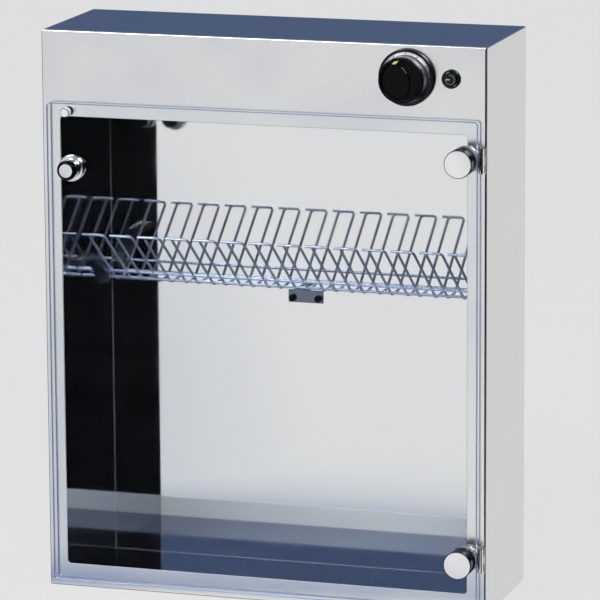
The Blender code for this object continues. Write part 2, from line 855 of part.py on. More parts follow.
def make_timer():
    x, z = timer_x, controls_z
    side = TIMER_BODY_SIDE / 2
    body_front = inside_front_y
    neck_front = front_y - GAP - TIMER_NUT_THICKNESS
    body = put(
        "timer_body",
        block((x - side, body_front, z - side), (x + side, body_front + TIMER_BODY_DEPTH, z + side)),
        "white",
    )
    cut(
        body,
        [rod((x, neck_front, z), "Y", body_front + CUT_OVERRUN - neck_front, TIMER_NECK_RADIUS)],
        "UNION",
    )
    cut(
        body,
        [
            rod(
                (x, neck_front - CUT_OVERRUN, z),
                "Y",
                body_front + TIMER_BODY_DEPTH / 2 + CUT_OVERRUN - neck_front,
                TIMER_SHAFT_RADIUS + GAP,
            )
        ],
    )
    put(
        "timer_nut",
        turned(
            [
                (0, TIMER_NECK_RADIUS + GAP),
                (0, TIMER_NUT_RADIUS),
                (TIMER_NUT_THICKNESS, TIMER_NUT_RADIUS),
                (TIMER_NUT_THICKNESS, TIMER_NECK_RADIUS + GAP),
                (0, TIMER_NECK_RADIUS + GAP),
            ],
            (x, neck_front, z),
            "Y",
            HEXAGON_SIDES * 2,
        ),
        "zinc",
    )
    turning = empty("timer_turning_axis", (x, front_y, z))
    dial_front = front_y - GAP - DIAL_THICKNESS
    put(
        "timer_dial",
        turned(
            [
                (0, DIAL_BORE_RADIUS),
                (0, DIAL_RADIUS),
                (DIAL_THICKNESS - DIAL_LIP, DIAL_RADIUS),
                (DIAL_THICKNESS, DIAL_RADIUS - DIAL_LIP),
                (DIAL_THICKNESS, DIAL_BORE_RADIUS),
                (0, DIAL_BORE_RADIUS),
            ],
            (x, front_y - GAP, z),
            "-Y",
        ),
        "black",
    )
    knob_back = dial_front - GAP
    knob_front = knob_back - KNOB_LENGTH
    put(
        "timer_knob",
        turned(
            [
                (KNOB_BORE_DEPTH, 0),
                (KNOB_BORE_DEPTH, TIMER_SHAFT_RADIUS + GAP),
                (0, TIMER_SHAFT_RADIUS + GAP),
                (0, KNOB_RADIUS),
                (KNOB_EDGE, KNOB_RADIUS),
                (KNOB_EDGE, KNOB_WAIST_RADIUS),
                (KNOB_LENGTH - 2 * KNOB_EDGE, KNOB_WAIST_RADIUS),
                (KNOB_LENGTH - KNOB_EDGE, KNOB_RADIUS - KNOB_EDGE),
                (KNOB_LENGTH, KNOB_RADIUS - 2 * KNOB_EDGE),
                (KNOB_LENGTH, 0),
            ],
            (x, knob_back, z),
            "-Y",
        ),
        "black",
        turning,
        Vector((x, front_y, z)),
    )
    shaft_front = knob_back - KNOB_BORE_DEPTH + GAP
    shaft_back = body_front + TIMER_BODY_DEPTH / 2 - GAP
    put(
        "timer_shaft",
        rod((x, shaft_front, z), "Y", shaft_back - shaft_front, TIMER_SHAFT_RADIUS),
        "zinc",
        turning,
        Vector((x, front_y, z)),
    )


def make_power_button():
    x, z = button_x, controls_z
    face = front_y - GAP - BUTTON_BEZEL_LENGTH
    depth = BUTTON_BEZEL_LENGTH + GAP + SHEET + SWITCH_BODY_LENGTH
    hole = BUTTON_RADIUS + BUTTON_CLEARANCE
    stop = BUTTON_DEPTH + BUTTON_TRAVEL + GAP
    put(
        "power_switch",
        turned(
            [
                (stop, 0),
                (stop, hole),
                (0, hole),
                (0, BUTTON_BEZEL_RADIUS),
                (BUTTON_BEZEL_LENGTH, BUTTON_BEZEL_RADIUS),
                (BUTTON_BEZEL_LENGTH, SWITCH_BODY_RADIUS),
                (depth, SWITCH_BODY_RADIUS),
                (depth, 0),
            ],
            (x, face, z),
            "Y",
        ),
        "black",
    )
    put(
        "button_nut",
        turned(
            [
                (0, SWITCH_BODY_RADIUS + GAP),
                (0, BUTTON_NUT_RADIUS),
                (BUTTON_NUT_THICKNESS, BUTTON_NUT_RADIUS),
                (BUTTON_NUT_THICKNESS, SWITCH_BODY_RADIUS + GAP),
                (0, SWITCH_BODY_RADIUS + GAP),
            ],
            (x, front_y + SHEET + BUTTON_NUT_OFF_PANEL, z),
            "Y",
            HEXAGON_SIDES * 2,
        ),
        "dark",
    )
    origin = Vector((x, face, z))
    put(
        "power_button",
        turned(
            [
                (-BUTTON_PROUD, 0),
                (-BUTTON_PROUD, BUTTON_RADIUS - CAP_CHAMFER),
                (-BUTTON_PROUD + CAP_CHAMFER, BUTTON_RADIUS),
                (BUTTON_DEPTH, BUTTON_RADIUS),
                (BUTTON_DEPTH, 0),
            ],
            origin,
            "Y",
        ),
        "black",
        None,
        origin,
    )


def make_door_switch():
    top = cover_floor_z - GAP
    near = inside_front_y
    left = striker_x - DOOR_SWITCH_WIDTH / 2
    switch = put(
        "door_switch",
        block(
            (left, near, top - DOOR_SWITCH_HEIGHT),
            (left + DOOR_SWITCH_WIDTH, near + DOOR_SWITCH_DEPTH, top),
        ),
        "dark",
    )
    plunger_front = door_back_y + GAP
    plunger_back = near + PLUNGER_INSIDE
    cut(
        switch,
        [
            rod(
                (striker_x, near - CUT_OVERRUN, striker_z),
                "Y",
                CUT_OVERRUN + PLUNGER_INSIDE + GAP,
                PLUNGER_RADIUS + GAP,
                SMALL_SIDES,
            )
        ],
    )
    origin = Vector((striker_x, plunger_front, striker_z))
    put(
        "switch_plunger",
        rod(origin, "Y", plunger_back - plunger_front, PLUNGER_RADIUS, SMALL_SIDES),
        "white",
        None,
        origin,
    )


def make_door():
    axis_point = Vector((hinge_x, hinge_y, (door_top_z + door_bottom_z) / 2))
    turning = empty("door_turning_axis", axis_point)
    outline = round_rectangle(-door_half_width, door_half_width, door_bottom_z, door_top_z, DOOR_CORNER)
    door = put(
        "door_panel", extruded(outline, "Y", door_front_y, door_back_y), "acrylic", turning, axis_point
    )
    holes = [
        ((handle_x, handle_z), HANDLE_STUD_RADIUS),
        ((striker_x, striker_z), STRIKER_STUD_RADIUS),
    ] + [((cap_x, height), STUD_RADIUS) for height in hinge_heights.values()]
    cut(
        door,
        [
            rod(
                (x, door_front_y - CUT_OVERRUN, z),
                "Y",
                DOOR_THICKNESS + 2 * CUT_OVERRUN,
                radius + GAP,
                SMALL_SIDES,
            )
            for (x, z), radius in holes
        ],
    )
    washer_y = door_front_y - GAP
    seat_y = washer_y - WASHER_THICKNESS - GAP
    for name, height in hinge_heights.items():
        make_hinge(name, height, turning, axis_point, washer_y, seat_y)

    put(
        "handle_washer",
        ring(HANDLE_STUD_RADIUS + GAP, HANDLE_FOOT_RADIUS - WASHER_INSET, WASHER_THICKNESS, handle_x, washer_y, handle_z),
        "soft",
        turning,
        axis_point,
    )
    edge_step = HANDLE_EDGE * HANDLE_EDGE_SHARE
    head = HANDLE_LENGTH - HANDLE_HEAD_LENGTH
    grip = STUD_GRIP + GAP
    put(
        "handle_knob",
        turned(
            [
                (grip, 0),
                (grip, HANDLE_STUD_RADIUS + GAP),
                (0, HANDLE_STUD_RADIUS + GAP),
                (0, HANDLE_FOOT_RADIUS),
                (HANDLE_FOOT_LENGTH, HANDLE_FOOT_RADIUS),
                (HANDLE_FOOT_LENGTH, HANDLE_WAIST_RADIUS),
                (head, HANDLE_WAIST_RADIUS),
                (head + CAP_CHAMFER, HANDLE_RADIUS),
                (HANDLE_LENGTH - HANDLE_EDGE, HANDLE_RADIUS),
                (HANDLE_LENGTH - edge_step, HANDLE_RADIUS - edge_step),
                (HANDLE_LENGTH, HANDLE_RADIUS - HANDLE_EDGE),
                (HANDLE_LENGTH, 0),
            ],
            (handle_x, seat_y, handle_z),
            "-Y",
        ),
        "chrome",
        turning,
        axis_point,
    )
    stud_front = seat_y - STUD_GRIP - door_back_y
    put(
        "handle_cap",
        turned(
            [
                (stud_front, 0),
                (stud_front, HANDLE_STUD_RADIUS),
                (GAP, HANDLE_STUD_RADIUS),
                (GAP, HANDLE_CAP_RADIUS),
                (HANDLE_CAP_LENGTH - CAP_CHAMFER, HANDLE_CAP_RADIUS),
                (HANDLE_CAP_LENGTH, HANDLE_CAP_RADIUS - CAP_CHAMFER),
                (HANDLE_CAP_LENGTH, 0),
            ],
            (handle_x, door_back_y, handle_z),
            "Y",
        ),
        "chrome",
        turning,
        axis_point,
    )
    striker_end = DOOR_THICKNESS + GAP
    put(
        "door_striker",
        turned(
            [
                (-STRIKER_LENGTH, 0),
                (-STRIKER_LENGTH, STRIKER_RADIUS),
                (0, STRIKER_RADIUS),
                (0, STRIKER_STUD_RADIUS),
                (striker_end, STRIKER_STUD_RADIUS),
                (striker_end, 0),
            ],
            (striker_x, door_front_y - GAP, striker_z),
            "Y",
            SMALL_SIDES,
        ),
        "chrome",
        turning,
        axis_point,
    )


def ring(bore, radius, thickness, x, y, z, sides=ROUND_SIDES):
    """A flat ring whose back lies at y, with its thickness towards the front."""
    return turned(
        [(0, bore), (0, radius), (thickness, radius), (thickness, bore), (0, bore)], (x, y, z), "-Y", sides
    )


def make_hinge(name, height, turning, axis_point, washer_y, seat_y):
    leaf_back = front_y - GAP
    leaf_front = leaf_back - LEAF_THICKNESS
    half, middle = BARREL_LENGTH / 2, BARREL_MIDDLE / 2
    bore = PIN_RADIUS + PIN_CLEARANCE
    web = hinge_x + BARREL_RADIUS - WEB_INSET
    right = hinge_x + BARREL_RADIUS + LEAF_OVERHANG
    leaf_half = half + LEAF_OVERHANG
    leaf = put(
        "hinge_leaf_" + name,
        block((right - LEAF_WIDTH, leaf_front, height - leaf_half), (right, leaf_back, height + leaf_half)),
        "chrome",
    )
    joins = []
    for low, high in ((-half, -middle - GAP), (middle + GAP, half)):
        joins.append(rod((hinge_x, hinge_y, height + low), "Z", high - low, BARREL_RADIUS))
        joins.append(
            block(
                (hinge_x, hinge_y, height + low + WEB_INSET),
                (web, leaf_back - LEAF_THICKNESS / 2, height + high - WEB_INSET),
            )
        )
    cut(leaf, joins, "UNION")
    cut(
        leaf,
        [rod((hinge_x, hinge_y, height - half - CUT_OVERRUN), "Z", BARREL_LENGTH + 2 * CUT_OVERRUN, bore)],
    )

    arm_back = door_back_y + GAP + ARM_THICKNESS
    arm_front = door_back_y + GAP
    arm = put(
        "hinge_arm_" + name,
        turned(
            [(0, CAP_RADIUS), (ARM_THICKNESS, CAP_RADIUS), (ARM_THICKNESS, STUD_RADIUS)]
            + [(ARM_THICKNESS + GAP + DOOR_THICKNESS + GAP + WASHER_THICKNESS + GAP + STUD_GRIP, STUD_RADIUS)],
            (cap_x, arm_back, height),
            "-Y",
        ),
        "chrome",
        turning,
        axis_point,
    )
    cut(
        arm,
        [
            block(
                (cap_x, arm_front + WEB_INSET, height - middle + WEB_INSET),
                (hinge_x, arm_back - WEB_INSET, height + middle - WEB_INSET),
            ),
            rod((hinge_x, hinge_y, height - middle), "Z", BARREL_MIDDLE, BARREL_RADIUS),
        ],
        "UNION",
    )
    cut(
        arm,
        [rod((hinge_x, hinge_y, height - middle - CUT_OVERRUN), "Z", BARREL_MIDDLE + 2 * CUT_OVERRUN, bore)],
    )
    put(
        "hinge_pin_" + name,
        turned(
            [
                (-half, PIN_RADIUS),
                (half + GAP, PIN_RADIUS),
                (half + GAP, PIN_HEAD_RADIUS),
                (half + GAP + PIN_HEAD_HEIGHT, PIN_HEAD_RADIUS),
            ],
            (hinge_x, hinge_y, height),
            "Z",
            SMALL_SIDES,
        ),
        "zinc",
    )
    put(
        "hinge_washer_" + name,
        ring(STUD_RADIUS + GAP, CAP_RADIUS - WASHER_INSET, WASHER_THICKNESS, cap_x, washer_y, height),
        "soft",
        turning,
        axis_point,
    )
    grip = STUD_GRIP + GAP
    groove = CAP_RADIUS - CAP_GROOVE_DEPTH
    put(
        "hinge_cap_" + name,
        turned(
            [
                (grip, 0),
                (grip, STUD_RADIUS + GAP),
                (0, STUD_RADIUS + GAP),
                (0, CAP_RADIUS),
                (CAP_FOOT_LENGTH, CAP_RADIUS),
                (CAP_FOOT_LENGTH, groove),
                (CAP_FOOT_LENGTH + CAP_GROOVE_WIDTH, groove),
                (CAP_FOOT_LENGTH + CAP_GROOVE_WIDTH, CAP_RADIUS),
                (CAP_LENGTH - CAP_CHAMFER, CAP_RADIUS),
                (CAP_LENGTH, CAP_RADIUS - CAP_CHAMFER),
                (CAP_LENGTH, 0),
            ],
            (cap_x, seat_y, height),
            "-Y",
        ),
        "chrome",
        turning,
        axis_point,
    )


def on_leg(share):
    """The point of a leg at this share of its height, from the bottom, as (y, z)."""
    return rack_bottom_y - RACK_REACH * share, rack_bottom_z + RACK_DROP * share


def make_rack():
    slope = math.hypot(RACK_REACH, RACK_DROP)
    behind_y = RACK_DROP / slope * (RACK_WIRE_RADIUS + RAIL_RADIUS) * RAIL_TOUCH_SHARE
    below_z = RACK_REACH / slope * (RACK_WIRE_RADIUS + RAIL_RADIUS) * RAIL_TOUCH_SHARE
    rail_half = window_half_width - RAIL_END_CLEARANCE
    rails = []
    for share in (RAIL_UPPER_SHARE, RAIL_LOWER_SHARE):
        y, z = on_leg(share)
        rails.append((y + behind_y, z - below_z))
    (upper_y, upper_z), (lower_y, lower_z) = rails
    rack = put(
        "knife_rack", centred_rod((0, upper_y, upper_z), "X", 2 * rail_half, RAIL_RADIUS, WIRE_SIDES), "wire"
    )
    parts = [centred_rod((0, lower_y, lower_z), "X", 2 * rail_half, RAIL_RADIUS, WIRE_SIDES)]
    up_y, up_z = RACK_REACH / slope * RACK_BEND, RACK_DROP / slope * RACK_BEND
    foot_y = rack_bottom_y + RACK_FOOT
    room = 2 * (window_half_width - RACK_END_MARGIN) - RACK_LEG_SPACING
    last = math.floor(room / RACK_PITCH)
    for i in range(last + 1):
        left = (i - last / 2) * RACK_PITCH - RACK_LEG_SPACING / 2
        right = left + RACK_LEG_SPACING
        points = [
            (left, foot_y, rack_bottom_z),
            (left, rack_bottom_y + RACK_BEND, rack_bottom_z),
            (left, rack_bottom_y - up_y, rack_bottom_z + up_z),
            (left, rack_top_y + up_y, rack_top_z - up_z),
            (left + RACK_BEND, rack_top_y, rack_top_z),
            (right - RACK_BEND, rack_top_y, rack_top_z),
            (right, rack_top_y + up_y, rack_top_z - up_z),
            (right, rack_bottom_y - up_y, rack_bottom_z + up_z),
            (right, rack_bottom_y + RACK_BEND, rack_bottom_z),
            (right, foot_y, rack_bottom_z),
        ]
        parts.append(wire(points, RACK_WIRE_RADIUS))
        parts.append(
            centred_rod(
                (left + (RACK_BEND - RACK_HOOK) / 2, rack_top_y, rack_top_z),
                "X",
                RACK_HOOK + RACK_BEND,
                RACK_WIRE_RADIUS * HOOK_WIRE_SHARE,
                WIRE_SIDES,
            )
        )
    cut(rack, parts, "UNION")

    plate_back = mirror_y - GAP
    plate_front = plate_back - BRACKET_THICKNESS
    bottom = lower_z - BRACKET_BELOW_RAIL
    seat = lower_z - RAIL_RADIUS - GAP
    centre = put(
        "rack_bracket_centre",
        block((-BRACKET_WIDTH / 2, plate_front, bottom), (BRACKET_WIDTH / 2, plate_back, bottom + BRACKET_HEIGHT)),
        "polished",
    )
    tab = [
        (lower_y - RAIL_RADIUS, seat),
        (lower_y - RAIL_RADIUS, seat - BRACKET_THICKNESS),
        (plate_front, seat - BRACKET_THICKNESS),
        (plate_front, bottom + BRACKET_HEIGHT / 2),
        (plate_back, bottom + BRACKET_HEIGHT / 2),
        (plate_back, seat),
    ]
    cut(centre, [extruded(tab, "X", -BRACKET_TAB_WIDTH / 2, BRACKET_TAB_WIDTH / 2)], "UNION")
    screw_z = bottom + BRACKET_SCREW_UP
    holes = []
    for name, side in (("rack_screw_left", -1), ("rack_screw_right", 1)):
        x = side * BRACKET_SCREW_SPACING / 2
        holes.append(
            rod(
                (x, plate_front - CUT_OVERRUN, screw_z),
                "Y",
                BRACKET_THICKNESS + 2 * CUT_OVERRUN,
                SCREW_RADIUS + SCREW_CLEARANCE,
            )
        )
        put(
            name,
            turned(
                [
                    (-SCREW_HEAD_HEIGHT - GAP, SCREW_HEAD_RADIUS),
                    (-GAP, SCREW_HEAD_RADIUS),
                    (-GAP, SCREW_RADIUS),
                    (BRACKET_THICKNESS, SCREW_RADIUS),
                ],
                (x, plate_front, screw_z),
                "Y",
                SMALL_SIDES,
            ),
            "dark",
        )
    cut(centre, holes)

    arm_front = front_y + SADDLE_ARM_FROM_FRONT
    arm_back = arm_front + SADDLE_ARM_LENGTH
    arm_top = rack_top_z - SADDLE_ARM_BELOW_TOP
    near, far = upper_y - SADDLE_AHEAD, lower_y + SADDLE_BEHIND
    outline = [
        (arm_front, arm_top),
        (arm_front, arm_top - SADDLE_ARM_HEIGHT),
        (arm_back - SADDLE_ARM_HEIGHT, arm_top - SADDLE_ARM_HEIGHT),
        (near, upper_z),
        (near, lower_z - SADDLE_BELOW),
        (far, lower_z - SADDLE_BELOW),
        (far, upper_z),
        (upper_y, upper_z + SADDLE_ABOVE),
        (arm_back, arm_top),
    ]
    for name, side in (("rack_bracket_left", -1), ("rack_bracket_right", 1)):
        wall = side * (window_half_width - GAP)
        x = sorted((wall, wall - side * SADDLE_WIDTH))
        saddle = put(name, extruded(outline, "X", x[0], x[1]), "polished")
        hole = [
            centred_rod((0, y, z), "X", 2 * rail_half + 2 * GAP, RAIL_RADIUS + GAP, SMALL_SIDES)
            for y, z in rails
        ]
        cut(saddle, hole)


def main():
    for obj in list(bpy.data.objects):
        bpy.data.objects.remove(obj)
    make_cabinet()
    make_control_cover()
    make_gland()
    make_lamp()
    make_electrics()
    make_timer()
    make_power_button()
    make_door_switch()
    make_door()
    make_rack()


main()
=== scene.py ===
import math

import bmesh
import bpy
from mathutils import Matrix, Vector


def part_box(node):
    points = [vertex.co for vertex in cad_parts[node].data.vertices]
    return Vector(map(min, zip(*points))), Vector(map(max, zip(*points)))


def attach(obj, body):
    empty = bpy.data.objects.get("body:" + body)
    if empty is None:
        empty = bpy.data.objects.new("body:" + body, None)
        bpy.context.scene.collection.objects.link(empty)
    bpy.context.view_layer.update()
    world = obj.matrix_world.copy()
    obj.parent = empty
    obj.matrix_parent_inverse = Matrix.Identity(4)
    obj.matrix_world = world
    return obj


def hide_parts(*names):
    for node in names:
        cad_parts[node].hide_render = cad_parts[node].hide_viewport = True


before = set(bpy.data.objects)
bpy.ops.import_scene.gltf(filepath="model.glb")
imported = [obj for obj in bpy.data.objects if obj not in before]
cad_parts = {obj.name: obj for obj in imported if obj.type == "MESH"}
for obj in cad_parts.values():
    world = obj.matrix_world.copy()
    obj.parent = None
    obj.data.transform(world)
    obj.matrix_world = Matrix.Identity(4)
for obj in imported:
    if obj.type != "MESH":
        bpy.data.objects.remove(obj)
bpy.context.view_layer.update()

mm = 0.001
scene = bpy.context.scene
print("frame loaded:", len(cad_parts), "nodes")

# ---- colours and materials


def linearColour(hexText):
    # sRGB hex to the linear colour that Cycles works in
    channels = [int(hexText[i:i + 2], 16) / 255 for i in (0, 2, 4)]
    return [c / 12.92 if c <= 0.04045 else ((c + 0.055) / 1.055) ** 2.4 for c in channels] + [1.0]


def addNode(tree, kind, sockets=None, **settings):
    # one node with its settings, values and links; a node given as a value means its first output in use
    made = tree.nodes.new(kind)
    for name, value in settings.items():
        setattr(made, name, value)
    for socket, value in (sockets or {}).items():
        if isinstance(value, bpy.types.Node):
            value = next(output for output in value.outputs if output.enabled)
        if isinstance(value, bpy.types.NodeSocket):
            tree.links.new(value, made.inputs[socket])
        else:
            made.inputs[socket].default_value = value
    return made


def newMaterial(name, hexColour, roughness, metallic=0.0, sockets=None):
    material = bpy.data.materials.new(name)
    material.use_nodes = True
    tree = material.node_tree
    shader = tree.nodes["Principled BSDF"]
    shader.inputs["Base Color"].default_value = linearColour(hexColour)
    shader.inputs["Roughness"].default_value = roughness
    shader.inputs["Metallic"].default_value = metallic
    for socket, value in (sockets or {}).items():
        shader.inputs[socket].default_value = value
    return material, tree, shader


def objectNoise(tree, grain, detail=2.0, stretch=(1, 1, 1)):
    # noise whose grain is a real size; stretch draws it out along an axis
    place = addNode(tree, "ShaderNodeTexCoord").outputs["Object"]
    turn = addNode(tree, "ShaderNodeMapping", {"Vector": place, "Scale": stretch})
    noise = addNode(tree, "ShaderNodeTexNoise", {"Vector": turn, "Scale": 1 / grain, "Detail": detail})
    return noise.outputs["Fac"]


def objectAxes(tree):
    # a place on the object as separate X, Y and Z, in metres
    place = addNode(tree, "ShaderNodeTexCoord").outputs["Object"]
    return addNode(tree, "ShaderNodeSeparateXYZ", {0: place}).outputs


noiseReach = {"From Min": 0.3, "From Max": 0.7}    # where nearly all of a noise's values lie


def surfaceGrain(tree, shader, noise, roughRange=None, depth=None):
    # let a noise vary the roughness between two values, and raise the surface by a depth
    if roughRange:
        varied = addNode(tree, "ShaderNodeMapRange",
                         {"Value": noise, "To Min": roughRange[0], "To Max": roughRange[1], **noiseReach})
        tree.links.new(varied.outputs["Result"], shader.inputs["Roughness"])
    if depth:
        bump = addNode(tree, "ShaderNodeBump", {"Height": noise, "Distance": depth, "Strength": 1.0})
        tree.links.new(bump.outputs["Normal"], shader.inputs["Normal"])


groundSteel = {
    "colour": "f4f4f3", "cloud": "e9ebee",    # 304 sheet, fine ground, cold and pale
    "cloudSize": 90 * mm,
    "grain": 0.35 * mm, "grainLength": 60,    # real marks are 0.05 mm apart, drawn coarse so that they show
    "markDepth": 0.0012 * mm, "roughness": 0.2,
}


def brushedSheet(name, along, roughness=groundSteel["roughness"], colour=groundSteel["colour"],
                 cloud=groundSteel["cloud"]):
    # stainless sheet ground in one direction: long faint lines, highlights drawn out across them
    g = groundSteel
    material, tree, shader = newMaterial(name, g["colour"], roughness, 1.0)
    stretch = [1 / g["grainLength"] if axis == along else 1 for axis in "XYZ"]
    lines = objectNoise(tree, g["grain"], 3.0, stretch)
    surfaceGrain(tree, shader, lines, (roughness - 0.05, roughness + 0.05), g["markDepth"])
    clouds = objectNoise(tree, g["cloudSize"], 1.0)
    clouds = addNode(tree, "ShaderNodeMapRange", {"Value": clouds, **noiseReach})
    mixed = addNode(tree, "ShaderNodeMix", {"Factor": clouds, "A": linearColour(colour),
                                            "B": linearColour(cloud)}, data_type="RGBA")
    tree.links.new(mixed.outputs["Result"], shader.inputs["Base Color"])
    return material


def polishedSheet(name, hexColour, roughness, wave=0.02 * mm):
    # mirror-polished sheet: the picture in it is bent a little, as thin sheet never lies quite flat
    material, tree, shader = newMaterial(name, hexColour, roughness, 1.0)
    surfaceGrain(tree, shader, objectNoise(tree, 40 * mm, 3.0), (roughness * 0.6, roughness * 1.5))
    surfaceGrain(tree, shader, objectNoise(tree, 130 * mm, 0.0), depth=wave)
    return material


def plating(name, hexColour, roughness, grain=0.4 * mm, metallic=1.0):
    # plated, anodised or mill-finished metal: soft shine with a fine grain
    material, tree, shader = newMaterial(name, hexColour, roughness, metallic)
    surfaceGrain(tree, shader, objectNoise(tree, grain), (roughness - 0.06, roughness + 0.08))
    return material


def chromePlate(name, hexColour="e6e8ec", metallic=1.0, roughness=0.06):
    # bright plate on turned brass or drawn wire: near-perfect mirror with the faintest marks
    material, tree, shader = newMaterial(name, hexColour, roughness, metallic)
    surfaceGrain(tree, shader, objectNoise(tree, 6 * mm), (roughness * 0.5, roughness * 1.5))
    return material


def mouldedPlastic(name, hexColour, roughness, grain=0.25 * mm, depth=0.01 * mm, sockets=None):
    # injection-moulded plastic: even colour, faint spark-erosion grain
    material, tree, shader = newMaterial(name, hexColour, roughness, sockets=sockets)
    surfaceGrain(tree, shader, objectNoise(tree, grain), (roughness - 0.05, roughness + 0.05), depth)
    return material


def clearSheet(name, hexColour, roughness, ior):
    # drawn or extruded, clear; its IOR is under the real one, so that it shows only a trace of reflection
    sockets = {"Transmission Weight": 1.0, "IOR": ior}
    material, tree, shader = newMaterial(name, hexColour, roughness, sockets=sockets)
    surfaceGrain(tree, shader, objectNoise(tree, 80 * mm, 0.0), depth=0.002 * mm)
    return material


scalePaintedShade = {"bright": "ececee", "dim": "55607c", "from": 2 * mm, "to": 18 * mm}    # painted shade, bright to dim between these heights under the ring's middle


def scaleMetal():
    # satin anodised aluminium with painted shade: its base colour runs from bright above to a dim blue below,
    # in place of the light falling off where it turns down from the lamps
    material = plating("scaleSatinPaintedShade", "d8dadc", 0.28)
    tree, s = material.node_tree, scalePaintedShade
    low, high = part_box("timer_dial")
    middle = (low[2] + high[2]) / 2
    height = objectAxes(tree)["Z"]
    fall = addNode(tree, "ShaderNodeMapRange",
                   {"Value": height, "From Min": middle - s["from"], "From Max": middle - s["to"]})
    shade = addNode(tree, "ShaderNodeMix", {"Factor": fall, "A": linearColour(s["bright"]),
                                            "B": linearColour(s["dim"])}, data_type="RGBA")
    tree.links.new(shade.outputs["Result"], tree.nodes["Principled BSDF"].inputs["Base Color"])
    return material


mirrorBorder = {"width": 0.8 * mm, "metallic": 0.88}


def mirrorMetal():
    # polished back sheet, left dull where it meets the liners and the floor, so that a fine pale line shows
    material = polishedSheet("mirrorSteelBack", "f6f5f4", 0.04)
    tree, width = material.node_tree, mirrorBorder["width"]
    axes = objectAxes(tree)
    halfOpening, floorTop = -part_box("liner_left")[1][0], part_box("chamber_floor")[1][2]
    fromMiddle = addNode(tree, "ShaderNodeMath", {0: axes["X"]}, operation="ABSOLUTE")
    beside = addNode(tree, "ShaderNodeMath", {0: fromMiddle, 1: halfOpening - width},
                     operation="GREATER_THAN")
    below = addNode(tree, "ShaderNodeMath", {0: axes["Z"], 1: floorTop + width}, operation="LESS_THAN")
    dull = addNode(tree, "ShaderNodeMath", {0: beside, 1: below}, operation="MAXIMUM")
    shine = addNode(tree, "ShaderNodeMapRange",
                    {"Value": dull, "To Min": 1.0, "To Max": mirrorBorder["metallic"]})
    tree.links.new(shine.outputs["Result"], tree.nodes["Principled BSDF"].inputs["Metallic"])
    return material


# stainless sheet: a pale silver front with faint level lines, a wrap painted greyer as painted shade for the
# sides, and duller where it isn't seen
frontSteel = brushedSheet("groundSteelFront", "X")
sideSteel = brushedSheet("groundSteelSides", "Y", colour="dfdedd", cloud="d9dbde")
backSteel = brushedSheet("groundSteelBack", "X", 0.3, "efefee", "ebecee")
coverSteel = brushedSheet("groundSteelCover", "X", 0.3)

# polished sheet: the back shows a clear picture; the liners and the floor mirror the unlit room, and their
# base colours are painted darker as painted shade, the floor's a dark blue with a wavier picture; the
# brackets show a blurred grey one, and the reflector a bright hazy one
mirrorSteel = mirrorMetal()
linerSteel = polishedSheet("mirrorSteelLiner", "b6bcc6", 0.04)
floorSteel = polishedSheet("mirrorSteelFloor", "8494b2", 0.07, 0.05 * mm)
bracketSteel = polishedSheet("brightBracket", "6c7688", 0.2)
brightReflector = polishedSheet("rolledAluminiumReflector", "d4d8dc", 0.15)
bendPaintedShade = polishedSheet("bendPaintedShadeSteel", "20252f", 0.25)    # painted shade: a dark line along the bend
millSteel = plating("millFinishInside", "fcfcfa", 0.55, 1.5 * mm, 0.0)    # as rolled and dull; its near-white, non-metal colour is painted light, in place of the bright reflection the steel would show

# chrome: clear reflections, hazed by turning marks on the discs, bluish grey on the wire; the caps' sides and
# rims are a near-black copy of the chrome, painted shade for the dark they mirror
chrome = chromePlate("turnedChrome")
capFace = chromePlate("capFaceChrome", "ececec", 0.6, 0.15)
capShadeSide = chromePlate("capSidePaintedShade", "15171b")
wireSteel = chromePlate("brightWire", "b2bfd6", 0.78, 0.14)

# soft metals: zinc with a trace of yellow, aluminium a clean grey, oiled black oxide nearly without shine
zinc = plating("zincPlate", "b4b6ae", 0.38)
aluminium = plating("satinAluminium", "c4c6c8", 0.33)
# satin aluminium of the scale and the knob's skirt, with painted shade towards the bottom
scaleSilver = scaleMetal()
darkScrew = plating("blackenedScrew", "16171c", 0.35)

# plastics: polyamide is waxy, polished ABS glossy black, and ABS off a grained mould a soft black
whitePlastic = mouldedPlastic("whitePolyamide", "e4e2da", 0.45)
darkPlastic = mouldedPlastic("blackPolyamide", "1c1d20", 0.48)
blackPlastic = mouldedPlastic("glossBlackAbs", "050506", 0.12, 2 * mm, 0.001 * mm,
                              {"Specular IOR Level": 0.3})
knobPlastic = mouldedPlastic("satinBlackAbs", "030304", 0.3, 0.5 * mm, 0.004 * mm,
                             {"Specular IOR Level": 0.12})
gripHighlight = mouldedPlastic("gripEdgePaintedHighlight", "8f8c98", 0.2)    # painted highlight: a pale edge in place of a lamp's glint
rubber = mouldedPlastic("blackRubber", "0c0c0d", 0.7, 0.5 * mm, 0.03 * mm)    # matt, swallows the light
washerPlastic = mouldedPlastic("softClearWasher", "c8ccce", 0.35)    # milky
darkPrint = mouldedPlastic("scalePrint", "101216", 0.5)    # flat black ink
pointerPaint = mouldedPlastic("pointerPaint", "c2cf4e", 0.4)    # yellow-green fill

# the button's lens, lit from behind: a dim ring and a brighter bar
greenLight = mouldedPlastic("greenLens", "7fa298", 0.3, sockets={
    "Emission Color": linearColour("7fcfae"), "Emission Strength": 0.12})
tealLight = mouldedPlastic("tealLens", "3fb493", 0.3, sockets={
    "Emission Color": linearColour("5fd6b4"), "Emission Strength": 0.35})

# clear things: the tube has a cold tinge, and the acrylic is all but unseen face on, with bluish edges
quartz = clearSheet("quartzTube", "f2f6fb", 0.03, 1.2)
acrylic = clearSheet("clearAcrylic", "fbfdfe", 0.0, 1.08)
acrylicEdge = clearSheet("acrylicPolishedEdge", "8fa0ba", 0.15, 1.3)
acrylicChamfer = mouldedPlastic("acrylicSawnEdge", "8e9dbd", 0.35)    # cloudy from the saw
print("materials made")

